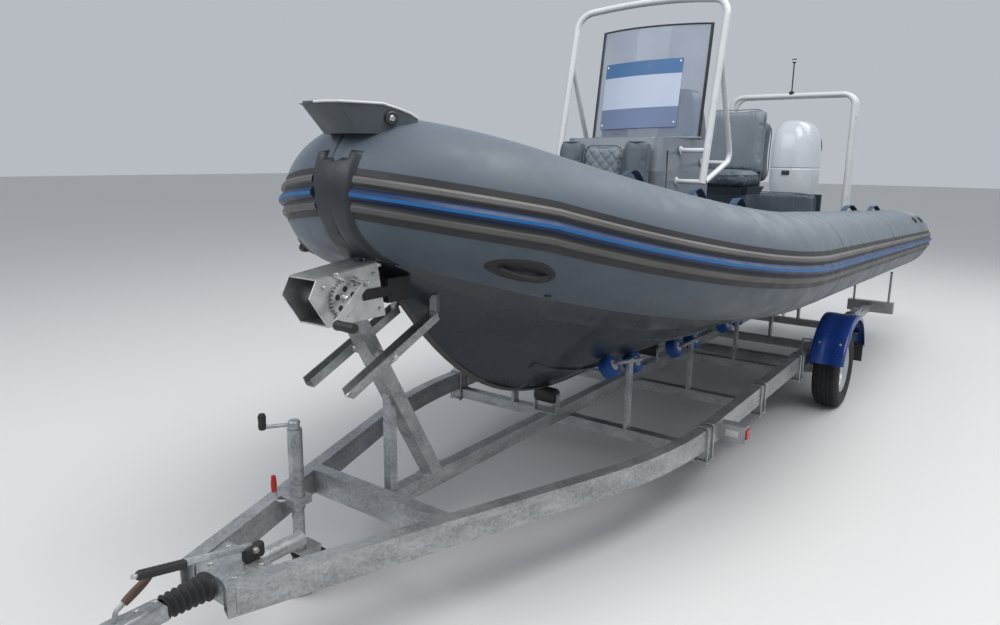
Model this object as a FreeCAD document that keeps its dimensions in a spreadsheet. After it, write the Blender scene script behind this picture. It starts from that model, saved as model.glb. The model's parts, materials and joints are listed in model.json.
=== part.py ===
import FreeCAD
import Part
import math
import os
import re
from FreeCAD import Placement, Rotation, Vector

# A 7 m rigid inflatable boat on its single-axle road trailer.
# X points to the bow and the coupling, Y to port, Z up. The floor is Z = 0.
# Every size along X is measured from the wheel axle; each finished node is then moved
# along X so that the origin lies under the middle of the whole length.

doc = FreeCAD.newDocument("rib_on_trailer")
sheet = doc.addObject("Spreadsheet::Sheet", "sizes")

# Name, size in mm or degrees, and what it measures.
SIZES = (
    ("coupling_reach", 4960, "axle to the front of the coupling head"),
    ("stern_reach", 3170, "axle back to the tips of the tubes"),
    ("axle_height", 295, "floor to wheel centre"),
    ("tyre_radius", 295, "outside of the tyre"),
    ("tyre_width", 185, "width of the tyre"),
    ("track_half", 998, "centre line to wheel centre plane"),
    ("rim_radius", 170, "seat of the tyre on the rim"),
    ("rim_width", 140, "width of the rim"),
    ("hub_radius", 82, "radius of the hub and its flange"),
    ("spindle_radius", 17, "stub axle in the hub"),
    ("spindle_gap", 0.5, "running gap of the stub axle"),
    ("axle_tube", 80, "square axle tube"),
    ("axle_lead", 105, "axle tube ahead of the wheel centre"),
    ("guard_radius", 414, "outside of the mudguard"),
    ("guard_width", 236, "width of the mudguard"),
    ("guard_wall", 5, "wall of the mudguard"),
    ("guard_angle", 148, "arc of the mudguard in degrees"),
    ("guard_lip", 34, "depth of the mudguard's side lip"),
    ("rail_half", 860, "centre line to outer face of the side rails"),
    ("rail_width", 60, "width of rails and drawbar beams"),
    ("rail_depth", 110, "height of rails and drawbar beams"),
    ("rail_bottom", 344, "floor to underside of the rails"),
    ("rail_wall", 4, "wall of the hollow beams"),
    ("rail_back", 1760, "axle back to the end of the rails"),
    ("rail_bend", 2650, "axle to the corner of the rails"),
    ("bend_radius", 2500, "bend radius of the rails"),
    ("drawbar_front", 4600, "axle to the front end of the drawbar beams"),
    ("drawbar_half", 140, "centre line to outer face at the drawbar's front end"),
    ("cross_depth", 60, "height of the cross beams"),
    ("cross_width", 60, "width of the cross beams"),
    ("front_beam", 3809, "axle to the front cross beam's centre"),
    ("keel_beam_width", 60, "width of the middle beam"),
    ("keel_beam_depth", 76, "height of the middle beam"),
    ("keel_beam_back", 1700, "axle back to the end of the middle beam"),
    ("keel_height", 557, "floor to the bottom of the keel"),
    ("rise_start", 2050, "axle to where the keel starts to rise"),
    ("rise_length", 1750, "length of the rising stem"),
    ("rise_height", 873, "how far the stem rises"),
    ("transom_back", 1950, "axle back to the aft face of the transom"),
    ("transom_thickness", 85, "thickness of the transom"),
    ("transom_top", 1190, "floor to top of the transom"),
    ("deck_height", 1000, "floor to the cockpit deck"),
    ("cockpit_half", 640, "half width of the cockpit"),
    ("cockpit_front", 2450, "axle to the step of the bow deck"),
    ("cockpit_front_half", 490, "half width at the step of the bow deck"),
    ("tube_radius", 280, "radius of the inflated tube"),
    ("tube_half", 965, "centre line to the tube's centre line"),
    ("tube_stern", 1056, "tube centre height at its aft end"),
    ("tube_corner", 2600, "axle to the first corner of the tube's line"),
    ("tube_corner_height", 1318, "tube centre height at the first corner"),
    ("tube_shoulder", 3712, "axle to the second corner of the tube's line"),
    ("tube_shoulder_half", 310, "half breadth at the second corner"),
    ("tube_shoulder_height", 1672, "tube centre height at the second corner"),
    ("tube_bow_height", 1700, "tube centre height at the bow"),
    ("bow_arc", 560, "radius of the tube's line at the bow"),
    ("cone_length", 420, "length of the tapered tube end"),
    ("cone_radius", 190, "radius at the end of the taper"),
    ("tube_gap", 0.5, "clearance of hull and fittings to the tube"),
    ("fender_height", 140, "height of the rubbing strake"),
    ("fender_depth", 25, "how far the strake stands proud"),
    ("fender_groove", 9, "depth of the strake's grooves"),
    ("band_half", 52, "half width of the rubber band round the bow"),
    ("band_top", 1848, "floor to the top of the rubber band"),
    ("step_top", 2017, "floor to the top of the bow step"),
    ("step_depth", 112, "height of the bow step"),
    ("roller_radius", 60, "radius of the side rollers"),
    ("roller_length", 70, "length of the side rollers"),
    ("roller_half", 300, "centre line to the side rollers"),
    ("roller_pair", 290, "distance between two rollers of a rocker"),
    ("keel_roller_radius", 45, "radius of the keel rollers"),
    ("keel_roller_length", 130, "length of the keel rollers"),
    ("roller_gap", 0.3, "rollers to the hull"),
    ("post_lean", 29.5, "lean of the winch post from upright in degrees"),
    ("post_foot", 3460, "axle to the foot of the winch post"),
    ("post_length", 913, "length of the winch post"),
    ("post_width", 60, "width of the winch post"),
    ("winch_half", 72, "centre line to the winch's cheeks"),
    ("winch_cheek", 6, "wall of the winch's cheeks"),
    ("ball_socket", 25.5, "radius of the coupling's socket for a 50 mm ball"),
    ("jockey_setback", 555, "drawbar's front end back to the jockey wheel's tube"),
    ("jockey_gap", 37.94, "jockey wheel's tube to the drawbar beam"),
    ("jockey_tube", 30, "radius of the jockey wheel's outer tube"),
    ("jockey_leg", 25, "radius of the jockey wheel's inner tube"),
    ("jockey_wheel", 100, "radius of the jockey wheel"),
    ("jockey_tread", 60, "width of the jockey wheel"),
    ("jockey_trail", 45, "jockey wheel's centre behind its swivel"),
    ("console_back", 1080, "axle to the aft face of the console"),
    ("console_front", 1880, "axle to the front face of the console"),
    ("console_half", 340, "half width of the console"),
    ("console_top", 1990, "floor to the console's top at the screen"),
    ("hoop_radius", 21, "radius of the console hoop's tube"),
    ("hoop_half", 500, "half width of the console hoop"),
    ("hoop_top", 2712, "floor to the hoop's shoulders"),
    ("arch_radius", 24, "radius of the stern arch's tube"),
    ("arch_half", 580, "half width of the stern arch"),
    ("arch_top", 1170, "outboard's tilt tube up to the stern arch's top line"),
    ("arch_lead", 42, "transom's aft face forward to the front hoop of the arch"),
    ("arch_spacing", 132, "front hoop to back hoop of the arch"),
    ("helm_radius", 185, "outside radius of the steering wheel"),
    ("seat_half", 270, "half width of the helm seat"),
    ("tilt_back", 1985, "axle back to the outboard's tilt tube"),
    ("tilt_height", 95, "transom's top up to the outboard's tilt tube"),
    ("swivel_back", 2100, "axle back to the outboard's swivel tube"),
    ("swivel_radius", 45, "radius of the swivel tube"),
    ("cowl_half", 215, "half width of the outboard's cowl"),
    ("cowl_lift", 165, "tilt tube up to the bottom of the cowl"),
    ("cowl_height", 783, "height of the cowl"),
    ("propeller_drop", 935, "tilt tube down to the propeller shaft"),
    ("propeller_shaft", 12, "radius of the propeller shaft"),
    ("propeller_radius", 184, "radius of the propeller"),
)
for line, (alias, number, note) in enumerate(SIZES, 1):
    sheet.set("A%d" % line, note)
    sheet.set("B%d" % line, str(number))
    sheet.setAlias("B%d" % line, alias)
doc.recompute()

AXLE_SHIFT = "(stern_reach - coupling_reach) / 2"
FIT_GAP = 0.3
NODES = []


def size(alias):
    """A size of the sheet as a number."""
    return float(sheet.get(alias))


def bound(text):
    """An expression in which each name of a size is read from the sheet."""
    return re.sub(r"[a-z]+(?:_[a-z]+)+", lambda word: "sizes." + word.group(0), str(text))


def place(thing, base, rotation=None):
    """Set a turn and bind the three coordinates of a thing's place to the sheet."""
    thing.Placement = Placement(Vector(), rotation or Rotation())
    for axis, text in zip("xyz", base):
        thing.setExpression("Placement.Base." + axis, bound(text))


def box(name, lengths, base, rotation=None):
    solid = doc.addObject("Part::Box", name)
    for side, text in zip(("Length", "Width", "Height"), lengths):
        solid.setExpression(side, bound(text))
    place(solid, base, rotation)
    return solid


ALONG = {
    "x": Rotation(Vector(0, 1, 0), 90),
    "y": Rotation(Vector(1, 0, 0), -90),
    "z": Rotation(),
}


def rod(name, radius, length, base, along="z"):
    solid = doc.addObject("Part::Cylinder", name)
    solid.setExpression("Radius", bound(radius))
    solid.setExpression("Height", bound(length))
    place(solid, base, ALONG[along])
    return solid


def shaped(name, shape):
    """A piece whose shape comes from a formula."""
    piece = doc.addObject("Part::Feature", name)
    piece.Shape = Part.makeCompound(shape.Solids)
    return piece


def cut(name, base, tool):
    result = doc.addObject("Part::Cut", name)
    result.Base = base
    result.Tool = tool
    return result


def fused(name, pieces):
    result = doc.addObject("Part::MultiFuse", name)
    result.Shapes = pieces
    result.Refine = True
    return result


def group(name, pieces):
    result = doc.addObject("Part::Compound", name)
    result.Links = pieces
    return result


def node(thing, label):
    """Name a finished piece of the assembly and set it in the common frame."""
    thing.Label = label
    place(thing, (AXLE_SHIFT, 0, 0))
    NODES.append(thing)
    return thing


def point(x, y, z):
    return Vector(x, y, z)


def mirrored(shape):
    """The starboard twin of a port shape."""
    return shape.mirror(Vector(), Vector(0, 1, 0))


def swept(section, corners, radii):
    """A solid: a plane section carried along straight runs and the tangent arcs between them."""
    skin = [section]
    start = corners[0]
    outline = section.OuterWire
    for before, corner, after, radius in zip(corners, corners[1:], corners[2:], radii):
        incoming = (corner - before).normalize()
        outgoing = (after - corner).normalize()
        turn = incoming.getAngle(outgoing)
        run = corner - incoming * (radius * math.tan(turn / 2)) - start
        if run.Length > 0.01:
            skin += outline.extrude(run).Faces
            outline = outline.translated(run)
        centre = corner + (outgoing - incoming).normalize() * (radius / math.cos(turn / 2))
        axis = incoming.cross(outgoing).normalize()
        skin += outline.revolve(centre, axis, math.degrees(turn)).Faces
        outline = outline.rotated(centre, axis, math.degrees(turn))
        start = corner + outgoing * (radius * math.tan(turn / 2))
    run = corners[-1] - start
    if run.Length > 0.01:
        skin += outline.extrude(run).Faces
        outline = outline.translated(run)
    skin.append(Part.Face(outline))
    shell = Part.makeShell(skin)
    shell.sewShape()
    solid = Part.makeSolid(shell)
    if solid.Volume < 0:
        solid.reverse()
    return solid


def tube_along(corners, radii, radius):
    """A round bar bent along a path."""
    direction = (corners[1] - corners[0]).normalize()
    disc = Part.Face(Part.Wire([Part.makeCircle(radius, corners[0], direction)]))
    return swept(disc, corners, radii)


def polygon_prism(points, direction):
    """A prism over a plane outline."""
    return Part.Face(Part.makePolygon(points + points[:1])).extrude(direction)


def rounded_outline(x_back, x_front, half, radius, z):
    """A level rectangle with round corners."""
    r = min(radius, half - 1, (x_front - x_back) / 2 - 1)
    corners = (
        (x_front - r, half - r, 0),
        (x_back + r, half - r, 90),
        (x_back + r, r - half, 180),
        (x_front - r, r - half, 270),
    )
    edges = []
    for x, y, start in corners:
        arc = Part.ArcOfCircle(
            Part.Circle(point(x, y, z), Vector(0, 0, 1), r),
            math.radians(start),
            math.radians(start + 90),
        )
        edges.append(arc.toShape())
    joined = []
    for edge, after in zip(edges, edges[1:] + edges[:1]):
        joined.append(edge)
        joined.append(Part.makeLine(edge.valueAt(edge.LastParameter), after.valueAt(after.FirstParameter)))
    return Part.Wire(joined)


def tower(sections):
    """A body through level rounded rectangles.

    Each section gives height, back, front, half width and corner radius.
    """
    wires = [rounded_outline(back, front, half, radius, z) for z, back, front, half, radius in sections]
    return Part.makeLoft(wires, True, True)


# Road wheels

def wheel(side_name, side):
    """Tyre and rim of one side; side is 1 to port and -1 to starboard."""
    middle = size("track_half") * side
    half = size("tyre_width") / 2
    outer = size("tyre_radius")
    seat = size("rim_radius")
    shoulder = outer - 30
    tread_half = half - 22
    profile = Part.makePolygon([
        point(0, middle - half + 14, seat),
        point(0, middle - half, seat + 45),
        point(0, middle - half, shoulder - 12),
        point(0, middle - tread_half, outer),
        point(0, middle + tread_half, outer),
        point(0, middle + half, shoulder - 12),
        point(0, middle + half, seat + 45),
        point(0, middle + half - 14, seat),
        point(0, middle - half + 14, seat),
    ])
    ring = Part.Face(profile).revolve(Vector(), Vector(0, 1, 0), 360)
    ring.translate(Vector(0, 0, size("axle_height")))
    tyre = shaped("tyre_" + side_name, ring)
    node(tyre, "tyre_" + side_name)

    inner = seat - 8
    rim_half = size("rim_width") / 2
    disc = middle + 28 * side
    face_thickness = 9 * side
    hub = size("hub_radius")
    bore = size("spindle_radius") + size("spindle_gap")
    inboard = middle - 58 * side
    rim_profile = [
        point(0, middle - rim_half * side, inner - 4),
        point(0, middle - rim_half * side, seat - FIT_GAP),
        point(0, middle + rim_half * side, seat - FIT_GAP),
        point(0, middle + rim_half * side, inner - 4),
        point(0, disc + 14 * side, inner - 4),
        point(0, disc + 24 * side, 118),
        point(0, disc + face_thickness, hub + 6),
        point(0, disc + face_thickness, 40),
        point(0, disc + 38 * side, 36),
        point(0, disc + 38 * side, 0),
        point(0, disc + 10 * side, 0),
        point(0, disc + 10 * side, bore),
        point(0, inboard, bore),
        point(0, inboard, hub),
        point(0, disc, hub),
        point(0, disc + 12 * side, 118),
        point(0, disc + 2 * side, inner - 4),
    ]
    rim = Part.Face(Part.makePolygon(rim_profile + rim_profile[:1])).revolve(Vector(), Vector(0, 1, 0), 360)
    slots = []
    for count in range(10):
        slot = Part.makeBox(26, 60, 20, point(-13, disc - 20 if side > 0 else disc - 40, 122))
        slot.rotate(Vector(), Vector(0, 1, 0), 36 * count)
        slots.append(slot)
    rim = rim.cut(slots)
    rim.translate(Vector(0, 0, size("axle_height")))
    node(shaped("rim_" + side_name, rim), "rim_" + side_name)


wheel("port", 1)
wheel("starboard", -1)


# Trailer frame: two hollow rails bent inwards to the drawbar

def rail(side):
    width = size("rail_width")
    centre = size("rail_half") - width / 2
    corners = [
        point(-size("rail_back"), centre, 0),
        point(size("rail_bend"), centre, 0),
        point(size("drawbar_front"), size("drawbar_half") - width / 2, 0),
    ]

    def beam(inset):
        low = size("rail_bottom") + inset
        high = size("rail_bottom") + size("rail_depth") - inset
        half = width / 2 - inset
        x = corners[0].x
        section = Part.makePolygon([
            point(x, centre - half, low),
            point(x, centre + half, low),
            point(x, centre + half, high),
            point(x, centre - half, high),
            point(x, centre - half, low),
        ])
        return swept(Part.Face(section), corners, [size("bend_radius")])

    hollow = beam(0).cut(beam(size("rail_wall")))
    return hollow if side > 0 else mirrored(hollow)


node(shaped("side_rails", Part.makeCompound([rail(1), rail(-1)])), "side_rails")

RAIL_TOP = "rail_bottom + rail_depth"


def drawbar_inner(x):
    """Half width between the drawbar beams at x."""
    width = size("rail_width")
    slope = (size("rail_half") - size("drawbar_half")) / (size("drawbar_front") - size("rail_bend"))
    angle = math.atan(slope)
    centre = size("drawbar_half") - width / 2 + (size("drawbar_front") - x) * slope
    return centre - width / 2 / math.cos(angle)


# Cross beams lie under the rails and carry the rockers; the front one fits between the drawbar beams
ROCKERS = (2240, 1330, 420, -490, -1400)
cross = []
for count, x in enumerate(ROCKERS):
    cross.append(box(
        "cross_beam_%d" % count,
        ("cross_width", "2 * rail_half", "cross_depth"),
        ("%d - cross_width / 2" % x, "-rail_half", "rail_bottom - cross_depth"),
    ))
front = size("front_beam")
half_width = size("cross_width") / 2
bottom = size("rail_bottom")
front_outline = [
    point(front - half_width, drawbar_inner(front - half_width), bottom),
    point(front + half_width, drawbar_inner(front + half_width), bottom),
    point(front + half_width, -drawbar_inner(front + half_width), bottom),
    point(front - half_width, -drawbar_inner(front - half_width), bottom),
]
cross.append(shaped("cross_beam_front", polygon_prism(front_outline, Vector(0, 0, size("rail_depth")))))
node(group("cross_beams", cross), "cross_beams")

keel_beam = box(
    "keel_beam_bar",
    ("keel_beam_back + front_beam - cross_width / 2", "keel_beam_width", "keel_beam_depth"),
    ("-keel_beam_back", "-keel_beam_width / 2", "rail_bottom"),
)
node(group("keel_beam_group", [keel_beam]), "keel_beam")


# Axle with trailing arms and stub axles

def axle():
    tube = size("axle_tube")
    lead = size("axle_lead")
    reach = size("rail_half")
    top = size("rail_bottom")
    bar = Part.makeBox(tube, 2 * reach, tube, point(lead - tube / 2, -reach, top - tube))
    pieces = [bar]
    for side in (1, -1):
        arm_start = reach * side
        arm = Part.makeBox(lead + 70, 26, 64, point(-40, 0, -32))
        arm.translate(Vector(0, arm_start if side > 0 else arm_start - 26, size("axle_height")))
        spindle_length = size("track_half") + 30 - reach
        spindle = Part.makeCylinder(
            size("spindle_radius"), spindle_length, point(0, arm_start, size("axle_height")), Vector(0, side, 0))
        pieces += [arm, spindle]
    return pieces[0].fuse(pieces[1:]).removeSplitter()


node(shaped("axle", axle()), "axle")


# Mudguards: an arc over the wheel with a turned-down lip on the outer edge

def mudguard(side):
    inner_edge = size("rail_half") + 42
    outer_edge = inner_edge + size("guard_width")
    radius = size("guard_radius")
    wall = size("guard_wall")
    lip = size("guard_lip")
    profile = [
        point(0, inner_edge, radius - wall),
        point(0, inner_edge, radius),
        point(0, outer_edge - 14, radius),
        point(0, outer_edge, radius - 14),
        point(0, outer_edge, radius - lip),
        point(0, outer_edge - wall, radius - lip),
        point(0, outer_edge - wall, radius - 14 - wall / 2),
        point(0, outer_edge - 14 - wall / 2, radius - wall),
    ]
    face = Part.Face(Part.makePolygon(profile + profile[:1]))
    angle = size("guard_angle")
    face.rotate(Vector(), Vector(0, 1, 0), -angle / 2)
    guard = face.revolve(Vector(), Vector(0, 1, 0), angle)
    guard.translate(Vector(0, 0, size("axle_height")))
    return guard if side > 0 else mirrored(guard)


node(shaped("mudguards", Part.makeCompound([mudguard(1), mudguard(-1)])), "mudguards")

guard_stays = []
for side_name, base in (("port", "rail_half - 30"), ("starboard", "-rail_half - 42 - guard_width * 0.8")):
    for end_name, x in (("front", 300), ("back", -330)):
        angle = math.asin((abs(x) + 15) / (size("guard_radius") - size("guard_wall")))
        height = size("axle_height") + (size("guard_radius") - size("guard_wall")) * math.cos(angle) - FIT_GAP
        guard_stays.append(box(
            "guard_stay_%s_%s" % (side_name, end_name),
            (30, "72 + guard_width * 0.8", 6),
            (x - 15, base, height - 6),
        ))
        legs = height - 6 - size("rail_bottom") - size("rail_depth")
        leg_base = "rail_half - 30" if side_name == "port" else "-rail_half + 24"
        guard_stays.append(box(
            "guard_leg_%s_%s" % (side_name, end_name),
            (30, 6, abs(legs)),
            (x - 15, leg_base, RAIL_TOP),
        ))
node(group("mudguard_stays", guard_stays), "mudguard_stays")

# Hull form: the keel is level and then rises as a cubic curve to the stem

# Columns: place along X, half breadth and height of the chine.
CHINE = (
    (-1950, 740, 874),
    (900, 740, 874),
    (1500, 720, 885),
    (2000, 660, 920),
    (2450, 570, 975),
    (2800, 470, 1040),
    (3100, 365, 1120),
    (3350, 260, 1210),
    (3500, 190, 1275),
    (3600, 130, 1325),
    (3700, 60, 1385),
    (3780, 12, 1422),
)
# Stem ahead of the tube's line: place along X, half breadth and height of the upper edge.
STEM = (
    (3700, 100, 1640),
    (3780, 30, 1500),
)


def keel_at(x):
    """Height of the keel at x."""
    share = max(0, (x - size("rise_start")) / size("rise_length"))
    return size("keel_height") + size("rise_height") * share ** 3


def chine_at(x):
    """Half breadth and height of the chine at x."""
    for aft, fore in zip(CHINE, CHINE[1:]):
        if aft[0] <= x <= fore[0]:
            share = (x - aft[0]) / (fore[0] - aft[0])
            return aft[1] + share * (fore[1] - aft[1]), aft[2] + share * (fore[2] - aft[2])
    return CHINE[0][1:]


def bottom_at(x, y):
    """Height of the hull's bottom at x and y."""
    half, height = chine_at(x)
    low = keel_at(x)
    return low + (height - low) * abs(y) / half


# The tube's line: straight along the side, then two arcs round to the bow

TUBE_RISE = math.atan((size("tube_corner_height") - size("tube_stern")) / (size("tube_corner") + size("stern_reach")))
CONE_TIP = 0.72
TUBE_START = point(
    -size("stern_reach") + size("cone_length") * math.cos(TUBE_RISE)
    + CONE_TIP * size("cone_radius") * math.sin(TUBE_RISE),
    size("tube_half"), size("tube_stern"))
TUBE_CORNERS = [
    TUBE_START,
    point(size("tube_corner"), size("tube_half"), size("tube_corner_height")),
    point(size("tube_shoulder"), size("tube_shoulder_half"), size("tube_shoulder_height")),
    point(size("tube_shoulder"), -1, size("tube_bow_height")),
]
TUBE_AHEAD = (TUBE_CORNERS[1] - TUBE_START).normalize()


def half_turn(before, corner, after):
    """Tangent of half the turn at a corner."""
    return math.tan((corner - before).getAngle(after - corner) / 2)


SIDE_RUN = (TUBE_CORNERS[2] - TUBE_CORNERS[1]).Length - size("bow_arc") * half_turn(*TUBE_CORNERS[1:])
TUBE_ARCS = [SIDE_RUN / half_turn(*TUBE_CORNERS[:3]), size("bow_arc")]
PORT_HALF = Part.makeBox(9000, 2000, 4000, point(-4500, 0, 0))


def tube_chambers(extra):
    """Stern, side and bow chamber of the port tube, the radius grown by extra."""
    radius = size("tube_radius") + extra
    last = size("cone_radius") + extra
    length = size("cone_length")
    straight = (TUBE_CORNERS[1] - TUBE_START).Length - SIDE_RUN
    outline = [
        (0, straight), (radius, straight), (radius, 0), (radius - (radius - last) * 0.45, -length * 0.6),
        (last, -length * 0.86), (last * CONE_TIP, -length), (0, -length),
    ]
    corners = [TUBE_START + Vector(0, out, 0) + TUBE_AHEAD * along for out, along in outline]
    stern = Part.Face(Part.makePolygon(corners + corners[:1])).revolve(TUBE_START, TUBE_AHEAD, 360)
    disc = Part.Face(Part.Wire([Part.makeCircle(radius, TUBE_START + TUBE_AHEAD * straight, TUBE_AHEAD)]))
    chambers = [stern]
    for before, corner, after, arc in zip(TUBE_CORNERS, TUBE_CORNERS[1:], TUBE_CORNERS[2:], TUBE_ARCS):
        incoming = (corner - before).normalize()
        outgoing = (after - corner).normalize()
        turn = incoming.getAngle(outgoing)
        centre = corner + (outgoing - incoming).normalize() * (arc / math.cos(turn / 2))
        axis = incoming.cross(outgoing).normalize()
        chambers.append(disc.revolve(centre, axis, math.degrees(turn)))
        disc = disc.rotated(centre, axis, math.degrees(turn))
    chambers[-1] = chambers[-1].fuse(disc.extrude(outgoing * 60)).common(PORT_HALF)
    return chambers


def line_stations(steps):
    """Points of the port tube's line with their directions: its start and steps along each arc."""
    stations = [(TUBE_START, TUBE_AHEAD)]
    for before, corner, after, radius in zip(TUBE_CORNERS, TUBE_CORNERS[1:], TUBE_CORNERS[2:], TUBE_ARCS):
        incoming = (corner - before).normalize()
        outgoing = (after - corner).normalize()
        turn = incoming.getAngle(outgoing)
        centre = corner + (outgoing - incoming).normalize() * (radius / math.cos(turn / 2))
        axis = incoming.cross(outgoing).normalize()
        start = corner - incoming * (radius * math.tan(turn / 2))
        for count in range(steps + 1):
            turned = Rotation(axis, math.degrees(turn) * count / steps)
            station = centre + turned.multVec(start - centre)
            if (station - stations[-1][0]).Length > 1:
                stations.append((station, turned.multVec(incoming)))
    return stations


def tube_centre(x):
    """The point of the tube's line at x."""
    line = [station for station, direction in line_stations(24)]
    for aft, fore in zip(line, line[1:]):
        if aft.x <= x <= fore.x:
            return aft + (fore - aft) * ((x - aft.x) / (fore.x - aft.x))
    return line[0]


DECK_BACK = size("cockpit_front")
DECK_FRONT = DECK_BACK + 900
DECK_SLOPE = (tube_centre(DECK_FRONT).z - tube_centre(DECK_BACK).z) / (DECK_FRONT - DECK_BACK)


def deck_at(x):
    """Height of the flat, sloping bow deck at x."""
    return tube_centre(DECK_BACK).z + DECK_SLOPE * (x - DECK_BACK)


CHAMBERS = tube_chambers(0)
CLEAR_CHAMBERS = tube_chambers(size("tube_gap"))
for label, chamber in zip(("stern_tubes", "side_tubes"), CHAMBERS):
    node(shaped(label, Part.makeCompound([chamber, mirrored(chamber)])), label)
bow_tube = CHAMBERS[-1].fuse(mirrored(CHAMBERS[-1])).removeSplitter()
node(shaped("bow_tube", bow_tube), "bow_tube")


def clear_of_tube(shape, chambers=CLEAR_CHAMBERS):
    """A shape cut back to just clear of the tube on both sides."""
    for chamber in chambers:
        shape = shape.cut(chamber).cut(mirrored(chamber))
    return shape


PLATFORM_TOP = 980
SIDES_TAPER = 1500


def hull():
    """Deep-V hull with its cockpit, transom and two stern platforms."""
    wires = []
    stem = {x: (half, height) for x, half, height in STEM}
    for x, half_chine, chine in CHINE:
        edge = tube_centre(x)
        half_top, top = stem.get(x, (edge.y, edge.z))
        if DECK_BACK <= x <= DECK_FRONT:
            top = deck_at(x)
        wires.append(Part.makePolygon([
            point(x, 0, keel_at(x)),
            point(x, half_chine, chine),
            point(x, half_top, top),
            point(x, -half_top, top),
            point(x, -half_chine, chine),
            point(x, 0, keel_at(x)),
        ]))
    body = Part.makeLoft(wires, True, True)
    deck = size("deck_height")
    inner = -size("transom_back") + size("transom_thickness")
    plan = [
        point(inner, size("cockpit_half"), deck),
        point(SIDES_TAPER, size("cockpit_half"), deck),
        point(size("cockpit_front"), size("cockpit_front_half"), deck),
        point(size("cockpit_front"), -size("cockpit_front_half"), deck),
        point(SIDES_TAPER, -size("cockpit_half"), deck),
        point(inner, -size("cockpit_half"), deck),
    ]
    body = body.cut(polygon_prism(plan, Vector(0, 0, 900)))
    transom = Part.makeBox(
        size("transom_thickness"), 2 * size("cockpit_half") + 40, size("transom_top") - 950,
        point(-size("transom_back"), -size("cockpit_half") - 20, 950))
    platforms = []
    for low in (300, -760):
        outline = [
            point(-size("transom_back"), low, 730),
            point(-size("transom_back"), low, PLATFORM_TOP),
            point(-2460, low, PLATFORM_TOP),
            point(-2460, low, PLATFORM_TOP - 100),
        ]
        platforms.append(polygon_prism(outline, Vector(0, 460, 0)))
    locker = Part.makeBox(380, 380, 700, point(2580, -190, 1180))
    return clear_of_tube(body.fuse([transom] + platforms).cut(locker))


HULL = hull()


# The bottom moulding ends at the deck; above it stand the transom, the cockpit's sides and the bow deck

def hull_part(back, front, low, high):
    """What the hull's form has between two places along X and two heights."""
    return HULL.common(Part.makeBox(front - back, 2400, high - low, point(back, -1200, low)))


DECK_SEAM = size("deck_height") + FIT_GAP
TRANSOM_FRONT = size("transom_thickness") - size("transom_back")
FORM_TOP = 2000
node(shaped("hull", hull_part(-2600, 4000, 0, size("deck_height"))), "hull")
node(shaped("transom", hull_part(-2600, TRANSOM_FRONT, DECK_SEAM, FORM_TOP)), "transom")
cockpit_sides = [
    hull_part(TRANSOM_FRONT + FIT_GAP, SIDES_TAPER, DECK_SEAM, FORM_TOP),
    hull_part(SIDES_TAPER + FIT_GAP, size("cockpit_front"), DECK_SEAM, FORM_TOP),
]
node(shaped("cockpit_sides", Part.makeCompound(cockpit_sides)), "cockpit_sides")
node(shaped("bow_deck", hull_part(size("cockpit_front") + FIT_GAP, 4000, DECK_SEAM, FORM_TOP)), "bow_deck")


# Rubbing strake: a ridged section, level across, that follows the tube

def strake():
    """The port strake, from the taper of the tube to the band at the bow."""
    half = size("fender_height") / 2
    proud = size("tube_radius") + size("fender_depth")
    groove = size("fender_groove")
    inner = math.sqrt(size("tube_radius") ** 2 - half ** 2)
    # Columns: distance from the tube's centre line and height above it.
    section = (
        (inner - 8, -half), (inner + 6, -half), (proud - 8, -half * 0.92), (proud - 6, -half * 0.62),
        (proud - groove, -half * 0.55), (proud - groove, -half * 0.42), (proud, -half * 0.34),
        (proud, half * 0.34), (proud - groove, half * 0.42), (proud - groove, half * 0.55),
        (proud - 6, half * 0.62), (proud - 8, half * 0.92), (inner + 6, half), (inner - 8, half),
    )
    tail_length = size("cone_length") * 0.62
    tail_drop = (size("tube_radius") - size("cone_radius")) * 0.5
    stations = [(TUBE_START - TUBE_AHEAD * tail_length - Vector(0, tail_drop, 0), TUBE_AHEAD)]
    stations += line_stations(8)
    wires = []
    for centre, ahead in stations:
        outward = Vector(0, 0, 1).cross(ahead).normalize()
        upward = ahead.cross(outward)
        corners = [centre + outward * out + upward * up for out, up in section]
        wires.append(Part.makePolygon(corners + corners[:1]))
    body = Part.makeLoft(wires, True, True)
    body = body.common(Part.makeBox(9000, 2000, 4000, point(-4500, size("band_half") + 2, 0)))
    for chamber in tube_chambers(FIT_GAP):
        body = body.cut(chamber)
    return body


def strake_lengths():
    """The strake butts where the tube's straight chamber meets the bent one."""
    whole = strake()
    joint = (TUBE_CORNERS[1] - TUBE_AHEAD * SIDE_RUN).x
    aft = whole.common(Part.makeBox(joint + 4500 - FIT_GAP, 2000, 4000, point(-4500, 0, 0)))
    fore = whole.common(Part.makeBox(4500 - joint, 2000, 4000, point(joint, 0, 0)))
    return [aft, fore, mirrored(aft), mirrored(fore)]


node(shaped("rubbing_strakes", Part.makeCompound(strake_lengths())), "rubbing_strakes")


# Bow: rubber band round the joint of the tubes and the moulded bow step

def bow_band():
    thick = tube_chambers(16)[-1].common(Part.makeBox(700, size("band_half"), 900, point(3560, 0, 1350)))
    half = thick.cut(CLEAR_CHAMBERS[-1])
    band = half.fuse(mirrored(half)).removeSplitter()
    band = band.cut(Part.makeBox(900, 400, 600, point(2900, -200, 1300)))
    return band.cut(Part.makeBox(1500, 400, 600, point(2900, -200, size("band_top"))))


node(shaped("bow_band", bow_band()), "bow_band")


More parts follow.
